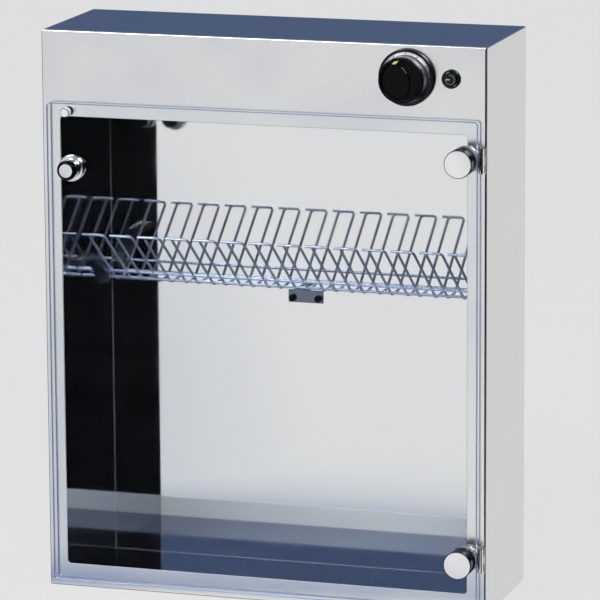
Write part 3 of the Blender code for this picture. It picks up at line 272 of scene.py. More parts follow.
nodeLooks = {
    "outer_wrap": sideSteel, "front_panel": frontSteel, "back_panel": backSteel, "polished_back": mirrorSteel,
    "liner_left": linerSteel, "liner_right": linerSteel, "chamber_floor": floorSteel,
    "control_cover": coverSteel, "cover_screw_left": zinc, "cover_screw_right": zinc,
    "back_spacer_left": zinc, "back_spacer_right": zinc, "cable_gland": rubber,
    "uv_tube": quartz, "tube_cap_left": aluminium, "tube_cap_right": aluminium,
    "lamp_rotor_left": whitePlastic, "lamp_rotor_right": whitePlastic,
    "lamp_holder_left": whitePlastic, "lamp_holder_right": whitePlastic, "lamp_reflector": brightReflector,
    "ballast": zinc, "starter_socket": whitePlastic, "starter": whitePlastic,
    "terminal_block": whitePlastic, "timer_body": whitePlastic, "timer_shaft": zinc, "timer_nut": zinc,
    "timer_dial": blackPlastic, "timer_knob": blackPlastic,
    "power_switch": blackPlastic, "power_button": blackPlastic, "button_nut": darkPlastic,
    "door_switch": darkPlastic, "switch_plunger": whitePlastic, "door_panel": acrylic,
    "hinge_leaf_upper": frontSteel, "hinge_leaf_lower": frontSteel,
    "hinge_arm_upper": frontSteel, "hinge_arm_lower": frontSteel,
    "hinge_pin_upper": zinc, "hinge_pin_lower": zinc,
    "hinge_cap_upper": chrome, "hinge_cap_lower": chrome,
    "hinge_washer_upper": washerPlastic, "hinge_washer_lower": washerPlastic,
    "handle_washer": washerPlastic, "handle_knob": chrome, "handle_cap": chrome, "door_striker": chrome,
    "knife_rack": wireSteel, "rack_bracket_centre": bracketSteel,
    "rack_bracket_left": bracketSteel, "rack_bracket_right": bracketSteel,
    "rack_screw_left": darkScrew, "rack_screw_right": darkScrew,
}
for nodeName, look in nodeLooks.items():
    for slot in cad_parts[nodeName].material_slots:
        slot.material = look

# ---- helpers for the modelled pieces

mergeReach = 0.005 * mm
bigFace = 100 * mm * mm    # faces over this stay flat up to their edges


def finishPiece(mesh, name, materials, body, replaced=None, smoothTo=32, flatOver=1.0):
    # close the mesh, point its faces outwards and hand it over to its body
    bmesh.ops.remove_doubles(mesh, verts=mesh.verts, dist=mergeReach)
    bmesh.ops.recalc_face_normals(mesh, faces=mesh.faces)
    for face in mesh.faces:
        face.smooth = True
    for edge in mesh.edges:
        besideFlat = any(face.calc_area() > flatOver for face in edge.link_faces)
        edge.smooth = not besideFlat and edge.calc_face_angle(0) <= math.radians(smoothTo)
    data = bpy.data.meshes.new(name)
    mesh.to_mesh(data)
    mesh.free()
    for material in materials:
        data.materials.append(material)
    piece = bpy.data.objects.new(name, data)
    scene.collection.objects.link(piece)
    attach(piece, body)
    if replaced:
        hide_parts(replaced)
    return piece


def roundPart(node):
    # a round part that stands out of the front: the middle of its back, its length and its radius
    low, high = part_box(node)
    foot = Vector(((low[0] + high[0]) / 2, high[1], (low[2] + high[2]) / 2))
    return foot, high[1] - low[1], (high[0] - low[0]) / 2


def boxMatrix(low, high):
    low, high = Vector(low), Vector(high)
    return Matrix.Translation((low + high) / 2) @ Matrix.Diagonal(high - low).to_4x4()


def bevelEdges(mesh, edges, offset, segments=1):
    bmesh.ops.bevel(mesh, geom=edges, offset=offset, segments=segments, profile=0.5, affect="EDGES",
                    material=-1)
    mesh.normal_update()


def standingBox(low, high, corner):
    # a box with its four edges along Y rounded
    mesh = bmesh.new()
    bmesh.ops.create_cube(mesh, size=1, matrix=boxMatrix(low, high))
    alongY = [edge for edge in mesh.edges if edge.verts[0].co.y != edge.verts[1].co.y]
    bevelEdges(mesh, alongY, corner, 6)
    return mesh


def standingTube(low, high, corner, wall):
    # the same box open at the front and back, with a wall inwards
    mesh = standingBox(low, high, corner)
    ends = [face for face in mesh.faces if abs(face.normal.y) > 0.5]
    bmesh.ops.delete(mesh, geom=ends, context="FACES_ONLY")
    bmesh.ops.solidify(mesh, geom=mesh.faces[:], thickness=wall)
    return mesh


def edgesWhere(mesh, keep):
    # edges whose two ends, taken together, pass a test
    return [edge for edge in mesh.edges if keep(edge.verts[0].co, edge.verts[1].co)]


def vertsIn(geometry):
    return [part for part in geometry if isinstance(part, bmesh.types.BMVert)]


def plateMesh(outline, frontY, backY):
    # a closed plate from an outline in x and z
    mesh = bmesh.new()
    face = mesh.faces.new([mesh.verts.new((x, frontY, z)) for x, z in outline])
    grown = bmesh.ops.extrude_face_region(mesh, geom=[face])["geom"]
    bmesh.ops.translate(mesh, vec=(0, backY - frontY, 0), verts=vertsIn(grown))
    return mesh


def joinMesh(mesh, other):
    carrier = bpy.data.meshes.new("carrier")
    other.to_mesh(carrier)
    other.free()
    mesh.from_mesh(carrier)
    bpy.data.meshes.remove(carrier)


def arcPoints(centreOut, centreRadius, reach, start, end, steps=6):
    # points on an arc of a turned profile, as (out, radius)
    points = []
    for i in range(steps + 1):
        angle = math.radians(start + (end - start) * i / steps)
        points.append((centreOut + reach * math.cos(angle), centreRadius + reach * math.sin(angle)))
    return points


def turnedMesh(profile, foot, steps=96, choose=None):
    # spin a profile of (out, radius) round an axis that comes out of the front at foot
    mesh = bmesh.new()
    verts = [mesh.verts.new((foot.x + radius, foot.y - out, foot.z)) for out, radius in profile]
    edges = [mesh.edges.new(pair) for pair in zip(verts, verts[1:])]
    bmesh.ops.spin(mesh, geom=verts + edges, cent=foot, axis=(0, 1, 0), angle=math.tau, steps=steps,
                   use_merge=True)
    bmesh.ops.remove_doubles(mesh, verts=mesh.verts, dist=mergeReach)
    if choose:
        for face in mesh.faces:
            middle = face.calc_center_median()
            radius = math.hypot(middle.x - foot.x, middle.z - foot.z)
            face.material_index = choose(foot.y - middle.y, radius)
    return mesh


# ---- cabinet shell: front pan with folded edges, and the wrap behind it

shellSizes = {
    "fold": 1.3 * mm, "foldReturn": 3.4 * mm, "sheet": 1.0 * mm, "innerBend": 0.6 * mm,
    "windowBottom": 25 * mm, "windowTop": 518 * mm, "windowCorner": 4 * mm, "windowLip": 0.35 * mm,
    "corner": 1.2 * mm, "seam": 0.5 * mm,
    "bandInset": 0.05 * mm, "bandWall": 0.25 * mm, "bandReach": 1.5 * mm,
}


def makeFrontPan():
    s = shellSizes
    low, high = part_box("front_panel")
    front, inner = low[1], low[1] + s["sheet"]
    bottom, top, halfWindow = s["windowBottom"], s["windowTop"], -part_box("liner_left")[1][0]
    middleZ = (low[2] + high[2]) / 2

    # one sheet with its window cut out
    mesh = bmesh.new()
    corners = ((low[0], low[2]), (high[0], low[2]), (high[0], high[2]), (low[0], high[2]))
    sheet = mesh.faces.new([mesh.verts.new((x, front, z)) for x, z in corners])
    bmesh.ops.inset_region(mesh, faces=[sheet], thickness=s["fold"], use_boundary=True)
    for vert in sheet.verts:
        vert.co.x = math.copysign(halfWindow, vert.co.x)
        vert.co.z = top if vert.co.z > middleZ else bottom
    bmesh.ops.delete(mesh, geom=[sheet], context="FACES_ONLY")

    # its rim is folded back, then it gets its thickness inwards
    rim = edgesWhere(mesh, lambda one, two: min(abs(one.x), abs(two.x)) > high[0] - mergeReach)
    grown = bmesh.ops.extrude_edge_only(mesh, edges=rim)["geom"]
    bmesh.ops.translate(mesh, vec=(0, s["foldReturn"], 0), verts=vertsIn(grown))
    bmesh.ops.recalc_face_normals(mesh, faces=mesh.faces)
    bmesh.ops.solidify(mesh, geom=mesh.faces[:], thickness=s["sheet"])

    # window corners and the broken edge round the window
    through = edgesWhere(mesh, lambda one, two: max(abs(one.x), abs(two.x)) < halfWindow + mergeReach
                         and abs(one.y - two.y) > mergeReach)
    bevelEdges(mesh, through, s["windowCorner"], 6)
    inWindow = lambda co: (co.y < front + mergeReach and abs(co.x) < halfWindow + mergeReach
                           and bottom - mergeReach < co.z < top + mergeReach)
    lip = [edge for edge in edgesWhere(mesh, lambda one, two: inWindow(one) and inWindow(two))
           if any(abs(face.normal.y) < 0.5 for face in edge.link_faces)]
    bevelEdges(mesh, lip, s["windowLip"])

    # bends round the outside, and a small one inside
    bends = edgesWhere(mesh, lambda one, two: min(abs(one.x), abs(two.x)) > high[0] - mergeReach
                       and min(one.y, two.y) < front + mergeReach)
    bevelEdges(mesh, bends, s["fold"], 5)
    innerX = high[0] - s["sheet"]
    bends = edgesWhere(mesh, lambda one, two: min(abs(one.x), abs(two.x)) > innerX - mergeReach
                       and max(abs(one.y - inner), abs(two.y - inner)) < mergeReach)
    bevelEdges(mesh, bends, s["innerBend"])

    for face in mesh.faces:
        middle = face.calc_center_median()
        beside = max(abs(middle.x) - innerX, low[2] + s["sheet"] - middle.z)    # past the sheet's inner side
        above = middle.z - high[2] + s["sheet"]
        if beside > 0.1 * s["sheet"] and middle.y > front + 0.03 * s["fold"]:
            face.material_index = 2    # painted shade: the bend on the sides and bottom gets a dark sheet
        elif max(beside, above) < -mergeReach and middle.y > front + s["windowLip"]:
            face.material_index = 1    # inside it is the mill finish, painted pale in place of the bright reflection it would show
    finishPiece(mesh, "frontPan", [frontSteel, millSteel, bendPaintedShade], "cabinet", "front_panel",
                flatOver=bigFace)


def makeWrap():
    s = shellSizes
    low, high = (Vector(corner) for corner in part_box("outer_wrap"))
    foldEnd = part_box("front_panel")[0][1] + s["foldReturn"]
    start = foldEnd + s["seam"]
    middleZ = (low.z + high.z) / 2
    mesh = standingTube((low.x, start, low.z), high, s["corner"], s["sheet"])
    onSkin = lambda co: max(abs(co.x) - high.x, abs(co.z - middleZ) + middleZ - high.z) > -s["sheet"] / 2
    rim = edgesWhere(mesh, lambda one, two: onSkin(one) and onSkin(two)
                     and max(one.y, two.y) < start + mergeReach)
    bevelEdges(mesh, rim, s["seam"])
    finishPiece(mesh, "foldedWrap", [sideSteel], "cabinet", "outer_wrap", flatOver=bigFace)

    # painted shade: a dark band fills the seam, so that it reads dark and no light shows through it
    inset = Vector((1, 0, 1)) * (s["sheet"] + s["bandInset"])
    bandLow, bandHigh = low + inset, high - inset
    bandLow.y, bandHigh.y = foldEnd - s["seam"], start + s["bandReach"]
    mesh = standingTube(bandLow, bandHigh, s["bandWall"] + mergeReach, s["bandWall"])
    finishPiece(mesh, "seamBand", [darkPlastic], "cabinet", flatOver=bigFace)


makeFrontPan()
makeWrap()

# ---- door sheet with polished edges

doorSizes = {"corner": 4 * mm, "chamfer": 0.6 * mm}


def makeDoor():
    d = doorSizes
    low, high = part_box("door_panel")
    mesh = standingBox(low, high, d["corner"])
    bevelEdges(mesh, edgesWhere(mesh, lambda one, two: abs(one.y - two.y) < mergeReach), d["chamfer"])
    for face in mesh.faces:
        slant = abs(face.normal.y)
        if slant < 0.9:    # flame-polished along the top, cloudy from the saw on the other chamfers
            sawn = slant > 0.1 and face.calc_center_median().z < high[2] - d["chamfer"]
            face.material_index = 2 if sawn else 1
    looks = [acrylic, acrylicEdge, acrylicChamfer]
    sheet = finishPiece(mesh, "doorSheet", looks, "door", "door_panel", smoothTo=20)
    sheet.visible_shadow = False    # clear sheet lets the light in


makeDoor()

# ---- bright caps over the hinges

hingeCapSizes = {"edge": 0.9 * mm, "groove": 1.8 * mm, "grooveWidth": 2.2 * mm, "grooveFrom": 8.5 * mm}


def makeHingeCap(node, name):
    c = hingeCapSizes
    foot, length, radius = roundPart(node)
    edge, start, width = c["edge"], c["grooveFrom"], c["grooveWidth"]
    slope, bed = c["groove"] * 0.4, radius - c["groove"] * 0.8
    profile = [(0, 0), (0, radius - edge)]
    profile += arcPoints(edge, radius - edge, edge, 180, 90, 4)
    profile += [(start, radius), (start + slope, bed)]
    profile += [(start + width - slope, bed), (start + width, radius)]
    profile += arcPoints(length - edge, radius - edge, edge, 90, 0, 5)
    profile += [(length, 0)]
    # the face is bright chrome, the side takes the near-black copy: painted shade
    inFace = lambda out, reach: 0 if out > length - edge * 0.2 and reach < radius - edge * 0.9 else 1
    finishPiece(turnedMesh(profile, foot, choose=inFace), name, [capFace, capShadeSide], "door", node)


makeHingeCap("hinge_cap_upper", "capUpper")
makeHingeCap("hinge_cap_lower", "capLower")

# ---- round handle: foot with two fine grooves, waist, and a head with a full round edge

handleSizes = {
    "footLength": 8.5 * mm, "waistRadius": 8.8 * mm, "headFrom": 11.1 * mm, "headRadius": 10.8 * mm,
    "round": 3.6 * mm, "faceRadius": 7.2 * mm, "small": 0.8 * mm,
    "groove": 0.7 * mm, "grooves": (3.2 * mm, 5.6 * mm),
}


def makeHandle():
    h = handleSizes
    foot, length, radius = roundPart("handle_knob")
    small, head, waist, groove = h["small"], h["headRadius"], h["waistRadius"], h["groove"]
    profile = [(0, 0), (0, radius - small)]
    profile += arcPoints(small, radius - small, small, 180, 90, 3)
    for out in h["grooves"]:
        profile += [(out, radius), (out + groove / 2, radius - groove), (out + groove, radius)]
    profile += arcPoints(h["footLength"] - small, radius - small, small, 90, 0, 4)
    profile += [(h["footLength"], waist + small), (h["footLength"] + small, waist)]
    profile += [(h["headFrom"] - small, waist)]
    profile += arcPoints(h["headFrom"] + small, head - small, small, 180, 90, 4)
    profile += arcPoints(length - h["round"], head - h["round"], h["round"], 90, 0, 12)
    profile += [(length, 0)]
    # the head's rim takes the near-black copy of the chrome: painted shade
    onRim = lambda out, reach: 1 if out > length - h["round"] * 1.4 and reach > h["faceRadius"] else 0
    mesh = turnedMesh(profile, foot, choose=onRim)
    finishPiece(mesh, "handleHead", [chrome, capShadeSide], "door", "handle_knob")


makeHandle()

# ---- small disc in the door's corner

strikerSizes = {"edge": 0.4 * mm, "rim": 0.6 * mm}


def makeStriker():
    s = strikerSizes
    foot, length, radius = roundPart("door_striker")
    edge, faceRadius = s["edge"], radius - s["rim"]
    profile = [(0, 0), (0, radius)]
    profile += arcPoints(length - edge, radius - edge, edge, 90, 0, 4)
    profile += [(length, faceRadius), (length, 0)]
    # the striker's rim takes the near-black copy of the chrome: painted shade
    zone = lambda out, reach: 2 if out < length - edge else 0 if reach < faceRadius else 1
    mesh = turnedMesh(profile, foot, 48, zone)
    finishPiece(mesh, "strikerDisc", [capFace, capShadeSide, millSteel], "door", "door_striker")


makeStriker()

# ---- timer ring: a cone with a printed scale inside a round rim

dialSizes = {
    "rimEdge": 1.0 * mm, "bore": 10 * mm, "step": 0.1 * mm,
    "scaleOuter": 27.0 * mm, "scaleInner": 24.4 * mm, "scaleFall": 1.9 * mm,
    "ticks": 24, "tickEnd": 26.6 * mm, "tickLift": 0.06 * mm, "tickThickness": 0.3 * mm,
    "longTick": (25.0 * mm, 1.5 * mm), "shortTick": (25.7 * mm, 0.8 * mm),    # where each starts, its width
}


def makeDial():
    d = dialSizes
    foot, length, radius = roundPart("timer_dial")
    bed, step = length - d["scaleFall"], d["step"]
    profile = [(0, d["bore"]), (0, radius)]
    profile += arcPoints(bed - d["rimEdge"], radius - d["rimEdge"], d["rimEdge"], 90, 0, 5)
    profile += [(bed, d["scaleOuter"] + step), (bed + step, d["scaleOuter"]),
                (length, d["scaleInner"]), (length, d["bore"]), (0, d["bore"])]
    onScale = lambda out, reach: 1 if d["scaleInner"] < reach < d["scaleOuter"] and out > length / 2 else 0
    mesh = turnedMesh(profile, foot, choose=onScale)
    # ticks are thin blocks that lie on the cone
    fall = d["scaleFall"] / (d["scaleOuter"] - d["scaleInner"])
    lean = math.atan(fall)
    for i in range(d["ticks"]):
        start, width = d["shortTick"] if i % 2 else d["longTick"]
        reach = (start + d["tickEnd"]) / 2
        out = length - (reach - d["scaleInner"]) * fall + d["tickLift"]
        size = Vector(((d["tickEnd"] - start) / math.cos(lean), d["tickThickness"], width))
        turn = -math.tau * i / d["ticks"] - math.pi / 2
        place = Matrix.Translation(foot) @ Matrix.Rotation(turn, 4, "Y")
        place = place @ Matrix.Translation((reach, -out, 0)) @ Matrix.Rotation(lean, 4, "Z")
        place = place @ Matrix.Translation((0, size.y / 2, 0)) @ Matrix.Diagonal(size).to_4x4()
        tick = bmesh.ops.create_cube(mesh, size=1, matrix=place)["verts"]
        for face in {face for vert in tick for face in vert.link_faces}:
            face.material_index = 2
    finishPiece(mesh, "dialRing", [blackPlastic, scaleSilver, darkPrint], "cabinet", "timer_dial")


makeDial()

# ---- timer knob: a dished head with a leaf-shaped grip and a painted pointer

knobSizes = {
    "edge": 0.9 * mm, "taper": 0.1 * mm, "skirt": 13 * mm, "skirtStep": 0.1 * mm,
    "footGap": 0.05 * mm, "footEdge": (0.5 * mm, 0.6 * mm),
    "dish": 2.0 * mm, "dishRadius": 20.4 * mm, "lip": (0.6 * mm, 0.4 * mm), "dishEdge": 0.8 * mm,
    "gripArc": 23.5 * mm, "gripHalf": 19 * mm, "gripTurn": 104, "gripSteps": 25, "gripSink": 0.2 * mm,
    "gripRise": ((0.985, 0.55 * mm), (0.95, 0.05 * mm)),    # share of the outline, and depth under the top
    "highlightFrom": (1 * mm, 8 * mm), "pointerDepth": 2.5 * mm,
    "pointer": ((-8.9, 17.2), (-4.6, 17.4), (-1.3, 21.6), (-5.6, 20.6)),    # its corners in mm from the axis
}


def makeGrip(top):
    k = knobSizes
    arc, half = k["gripArc"], k["gripHalf"]
    mesh = bmesh.new()
    # an arc from tip to tip, the same arc turned half round, and a face between them
    tip = mesh.verts.new((-half, 0, 0))
    bmesh.ops.spin(mesh, geom=[tip], cent=(0, 0, -math.sqrt(arc ** 2 - half ** 2)), axis=(0, 1, 0),
                   angle=2 * math.asin(half / arc), steps=k["gripSteps"])
    other = bmesh.ops.duplicate(mesh, geom=mesh.verts[:] + mesh.edges[:])["geom"]
    bmesh.ops.rotate(mesh, cent=(0, 0, 0), matrix=Matrix.Rotation(math.pi, 3, "Y"), verts=vertsIn(other))
    bmesh.ops.remove_doubles(mesh, verts=mesh.verts, dist=mergeReach)
    faces = bmesh.ops.contextual_create(mesh, geom=mesh.edges[:])["faces"]
    share, depth = 1, k["dish"] + k["gripSink"]
    foot = top + Vector((0, depth, 0))
    for nextShare, nextDepth in k["gripRise"]:
        rim = [edge for face in faces for edge in face.edges]    # with these, no face is left behind inside
        grown = bmesh.ops.extrude_face_region(mesh, geom=faces + rim)["geom"]
        faces = [part for part in grown if isinstance(part, bmesh.types.BMFace)]
        bmesh.ops.scale(mesh, vec=(nextShare / share, 1, nextShare / share), verts=vertsIn(grown))
        bmesh.ops.translate(mesh, vec=(0, nextDepth - depth, 0), verts=vertsIn(grown))
        share, depth = nextShare, nextDepth
    turn = Matrix.Rotation(-math.radians(k["gripTurn"]), 4, "Y")
    bmesh.ops.transform(mesh, matrix=Matrix.Translation(foot) @ turn, verts=mesh.verts)
    for face in mesh.faces:
        middle = face.calc_center_median() - top
        if middle.y < k["gripRise"][0][1] and middle.x > k["highlightFrom"][0] and middle.z > k["highlightFrom"][1]:
            face.material_index = 1    # painted highlight on the edge's upper right, where a lamp would glint
    return mesh


def makeKnob():
    k = knobSizes
    foot, length, radius = roundPart("timer_knob")
    top = foot - Vector((0, length, 0))
    edge, tip, dish, dishRadius = k["edge"], radius - k["taper"], k["dish"], k["dishRadius"]
    skirt, skirtRadius = k["skirt"], radius - k["skirtStep"]
    (footIn, footOut), (lipOut, lipDown) = k["footEdge"], k["lip"]
    profile = [(k["footGap"], 0), (k["footGap"], radius - footIn), (footOut, skirtRadius),
               (skirt, skirtRadius), (skirt + k["skirtStep"], radius)]
    profile += arcPoints(length - edge, tip - edge, edge, 90, 0, 7)
    profile += [(length, dishRadius + lipOut), (length - lipDown, dishRadius),
                (length - dish, dishRadius - k["dishEdge"]), (length - dish, 0)]
    # the skirt takes the scale's metal, with its painted shade
    onSkirt = lambda out, reach: 2 if out < skirt and reach > radius * 0.9 else 0
    mesh = turnedMesh(profile, foot, choose=onSkirt)
    joinMesh(mesh, makeGrip(top))
    looks = [knobPlastic, gripHighlight, scaleSilver]
    finishPiece(mesh, "timerKnob", looks, "timer", "timer_knob", smoothTo=40)
    pointer = [(top.x + x * mm, top.z + z * mm) for x, z in k["pointer"]]
    mesh = plateMesh(pointer, top.y, top.y + k["pointerDepth"])
    finishPiece(mesh, "pointerMark", [pointerPaint], "timer")


makeKnob()

# ---- lit push button

buttonSizes = {
    "edge": 0.9 * mm, "gap": 0.3 * mm, "well": 3.0 * mm, "neck": 8 * mm, "dome": 0.1 * mm,
    "ringRadius": 4.8 * mm, "ringWidth": 0.28 * mm, "ringFrom": 100, "ringTurn": 280, "lensDepth": 0.4 * mm,
    "bar": ((-4.6 * mm, -0.55 * mm), (-0.4 * mm, 0.55 * mm)),
}


def makeButton():
    b = buttonSizes
    seat, _, radius = roundPart("power_switch")
    foot, length, capRadius = roundPart("power_button")
    edge, gap = b["edge"], b["gap"]
    hole = capRadius + gap
    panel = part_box("front_panel")[0][1]
    base = Vector((seat.x, panel - gap, seat.z))
    out, inward = base.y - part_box("power_switch")[0][1], base.y - seat.y
    profile = [(out - b["well"], 0), (out - b["well"], hole), (out - gap, hole), (out, hole + gap)]
    profile += arcPoints(out - edge, radius - edge, edge, 0, 90, 5)
    profile += [(0, radius), (0, b["neck"]), (inward, b["neck"]), (inward, 0)]
    finishPiece(turnedMesh(profile, base, 64), "switchBody", [blackPlastic], "cabinet", "power_switch")

    profile = [(0, 0), (0, capRadius)]
    profile += arcPoints(length - edge, capRadius - edge, edge, 90, 0, 5)
    profile += [(length - b["dome"], 0)]
    finishPiece(turnedMesh(profile, foot, 64), "pushButton", [blackPlastic], "button", "power_button")

    # broken ring and bar let into the face, lit from behind
    face = foot - Vector((0, length, 0))
    (left, low), (right, high) = b["bar"]
    mesh = bmesh.new()
    bar = boxMatrix(face + Vector((left, 0, low)), face + Vector((right, b["lensDepth"], high)))
    bmesh.ops.create_cube(mesh, size=1, matrix=bar)
    for part in mesh.faces:
        part.material_index = 1
    angle = math.radians(b["ringFrom"])
    section = []
    for reach, depth in ((-1, 0), (1, 0), (1, 1), (-1, 1)):
        reach = b["ringRadius"] + reach * b["ringWidth"] / 2
        section.append(mesh.verts.new(face + Vector(
            (reach * math.cos(angle), depth * b["lensDepth"], reach * math.sin(angle)))))
    end = mesh.faces.new(section)
    bmesh.ops.spin(mesh, geom=section + list(end.edges) + [end], cent=face, axis=(0, 1, 0),
                   angle=math.radians(b["ringTurn"]), steps=48)
    finishPiece(mesh, "buttonLight", [greenLight, tealLight], "button")


makeButton()

# ---- wire rack: round wire with true bends on two rails

rackSizes = {
    "wire": 1.5 * mm, "rail": 1.6 * mm, "count": 14, "pitch": 31.6 * mm, "leg": 18 * mm,
    "drop": 66 * mm, "reach": 88 * mm, "hook": 7 * mm, "foot": 11 * mm, "bend": 5 * mm,
    "railShares": (0.22, 0.08),    # where the rails lie along a hoop's slope
}


def roundedPath(points, bend, steps=5):
    # round the corners of a path
    path = [Vector(points[0])]
    for before, corner, after in zip(points, points[1:], points[2:]):
        corner = Vector(corner)
        start = corner + (Vector(before) - corner).normalized() * bend
        end = corner + (Vector(after) - corner).normalized() * bend
        for i in range(steps + 1):
            share = i / steps
            path.append(start * (1 - share) ** 2 + corner * 2 * share * (1 - share) + end * share ** 2)
    path.append(Vector(points[-1]))
    return path


def addWire(mesh, path, radius, sides=10):
    # a circle drawn along a path and turned with it, closed at both ends
    last = len(path) - 1
    headings = [(path[min(i + 1, last)] - path[max(i - 1, 0)]).normalized() for i in range(last + 1)]
    place = Matrix.Translation(path[0]) @ headings[0].to_track_quat("Z", "Y").to_matrix().to_4x4()
    circle = bmesh.ops.create_circle(mesh, segments=sides, radius=radius, matrix=place)["verts"]
    ring = list({edge for vert in circle for edge in vert.link_edges})
    bmesh.ops.contextual_create(mesh, geom=ring)
    for i in range(1, last + 1):
        grown = bmesh.ops.extrude_edge_only(mesh, edges=ring)["geom"]
        ring = [part for part in grown if isinstance(part, bmesh.types.BMEdge)]
        turn = headings[i - 1].rotation_difference(headings[i]).to_matrix()
        bmesh.ops.rotate(mesh, cent=path[i - 1], matrix=turn, verts=vertsIn(grown))
        bmesh.ops.translate(mesh, vec=path[i] - path[i - 1], verts=vertsIn(grown))
    bmesh.ops.contextual_create(mesh, geom=ring)


def makeRack():
    r = rackSizes
    low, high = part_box("knife_rack")
    topZ = high[2] - r["wire"]
    bottomZ = topZ - r["drop"]
    footY = high[1]
    bottomY = footY - r["foot"]
    topY = bottomY - r["reach"]
    slope = math.hypot(r["reach"], r["drop"])
    touch = (r["wire"] + r["rail"]) * 0.8    # a little under the two radii, so that the weld bites
    mesh = bmesh.new()
    for share in r["railShares"]:
        y = bottomY - r["reach"] * share + r["drop"] / slope * touch
        z = bottomZ + r["drop"] * share - r["reach"] / slope * touch
        addWire(mesh, [Vector((low[0], y, z)), Vector((high[0], y, z))], r["rail"], 14)
    for i in range(r["count"]):
        left = (i - (r["count"] - 1) / 2) * r["pitch"] - r["leg"] / 2
        right = left + r["leg"]
        points = [(left, footY, bottomZ), (left, bottomY, bottomZ), (left, topY, topZ), (right, topY, topZ),
                  (right, bottomY, bottomZ), (right, footY, bottomZ)]
        addWire(mesh, roundedPath(points, r["bend"]), r["wire"])
        hook = [Vector((left - r["hook"], topY, topZ)), Vector((left + r["bend"], topY, topZ))]
        addWire(mesh, hook, r["wire"] * 0.98)
    finishPiece(mesh, "wireRack", [wireSteel], "cabinet", "knife_rack", smoothTo=50)


makeRack()
print("pieces made")

# ---- camera at the photograph's place, found from the cabinet's edges

cameraPlace = {
    "place": (1.44373, -4.49201, 1.30839),
    "turn": 0.30654, "tilt": 0.20699, "roll": -0.00582,
    "focalPixels": 4491.55, "pictureWidth": 600, "sensorWidth": 36,
}


def makeCamera():
    c = cameraPlace
    turn, tilt, roll = c["turn"], c["tilt"], c["roll"]
    ahead = Vector((-math.sin(turn) * math.cos(tilt), math.cos(turn) * math.cos(tilt), -math.sin(tilt)))
    right = Vector((math.cos(turn), math.sin(turn), 0))
    up = right.cross(ahead)
    right, up = right * math.cos(roll) + up * math.sin(roll), up * math.cos(roll) - right * math.sin(roll)
    data = bpy.data.cameras.new("camera")
    data.sensor_width = c["sensorWidth"]
    data.lens = c["sensorWidth"] * c["focalPixels"] / c["pictureWidth"]
    data.clip_end = 200
    camera = bpy.data.objects.new("camera", data)
    scene.collection.objects.link(camera)
    camera.matrix_world = Matrix.Translation(c["place"]) @ Matrix((right, up, -ahead)).transposed().to_4x4()
    scene.camera = camera


makeCamera()

# ---- floor, world and lamps

floorLooks = {
    "width": 60, "drop": 0.5 * mm, "background": "e5e5e5", "mirroredGround": "e9e8e8", "shadowShare": 0.15,
    "tint": "6b82ac", "black": "050608",
    "aheadSlant": 0.12, "aheadReach": (-0.08, -0.12),    # in front of the cabinet, in metres
    "darkPatchSlant": -0.13, "darkPatchReach": (0.30, 0.35),
    "innerSlant": 0.31, "innerReach": (-0.32, -0.28),
    "nearReach": (-0.75, -0.1), "nearPower": 6.0, "nearTint": 0.8,
    "leftSlant": -0.38, "leftReach": (0.02, -0.28), "leftFade": (-2.6, -0.9), "leftTint": (0.08, 0.3),
}


def fromReach(pair):
    return {"From Min": pair[0], "From Max": pair[1]}


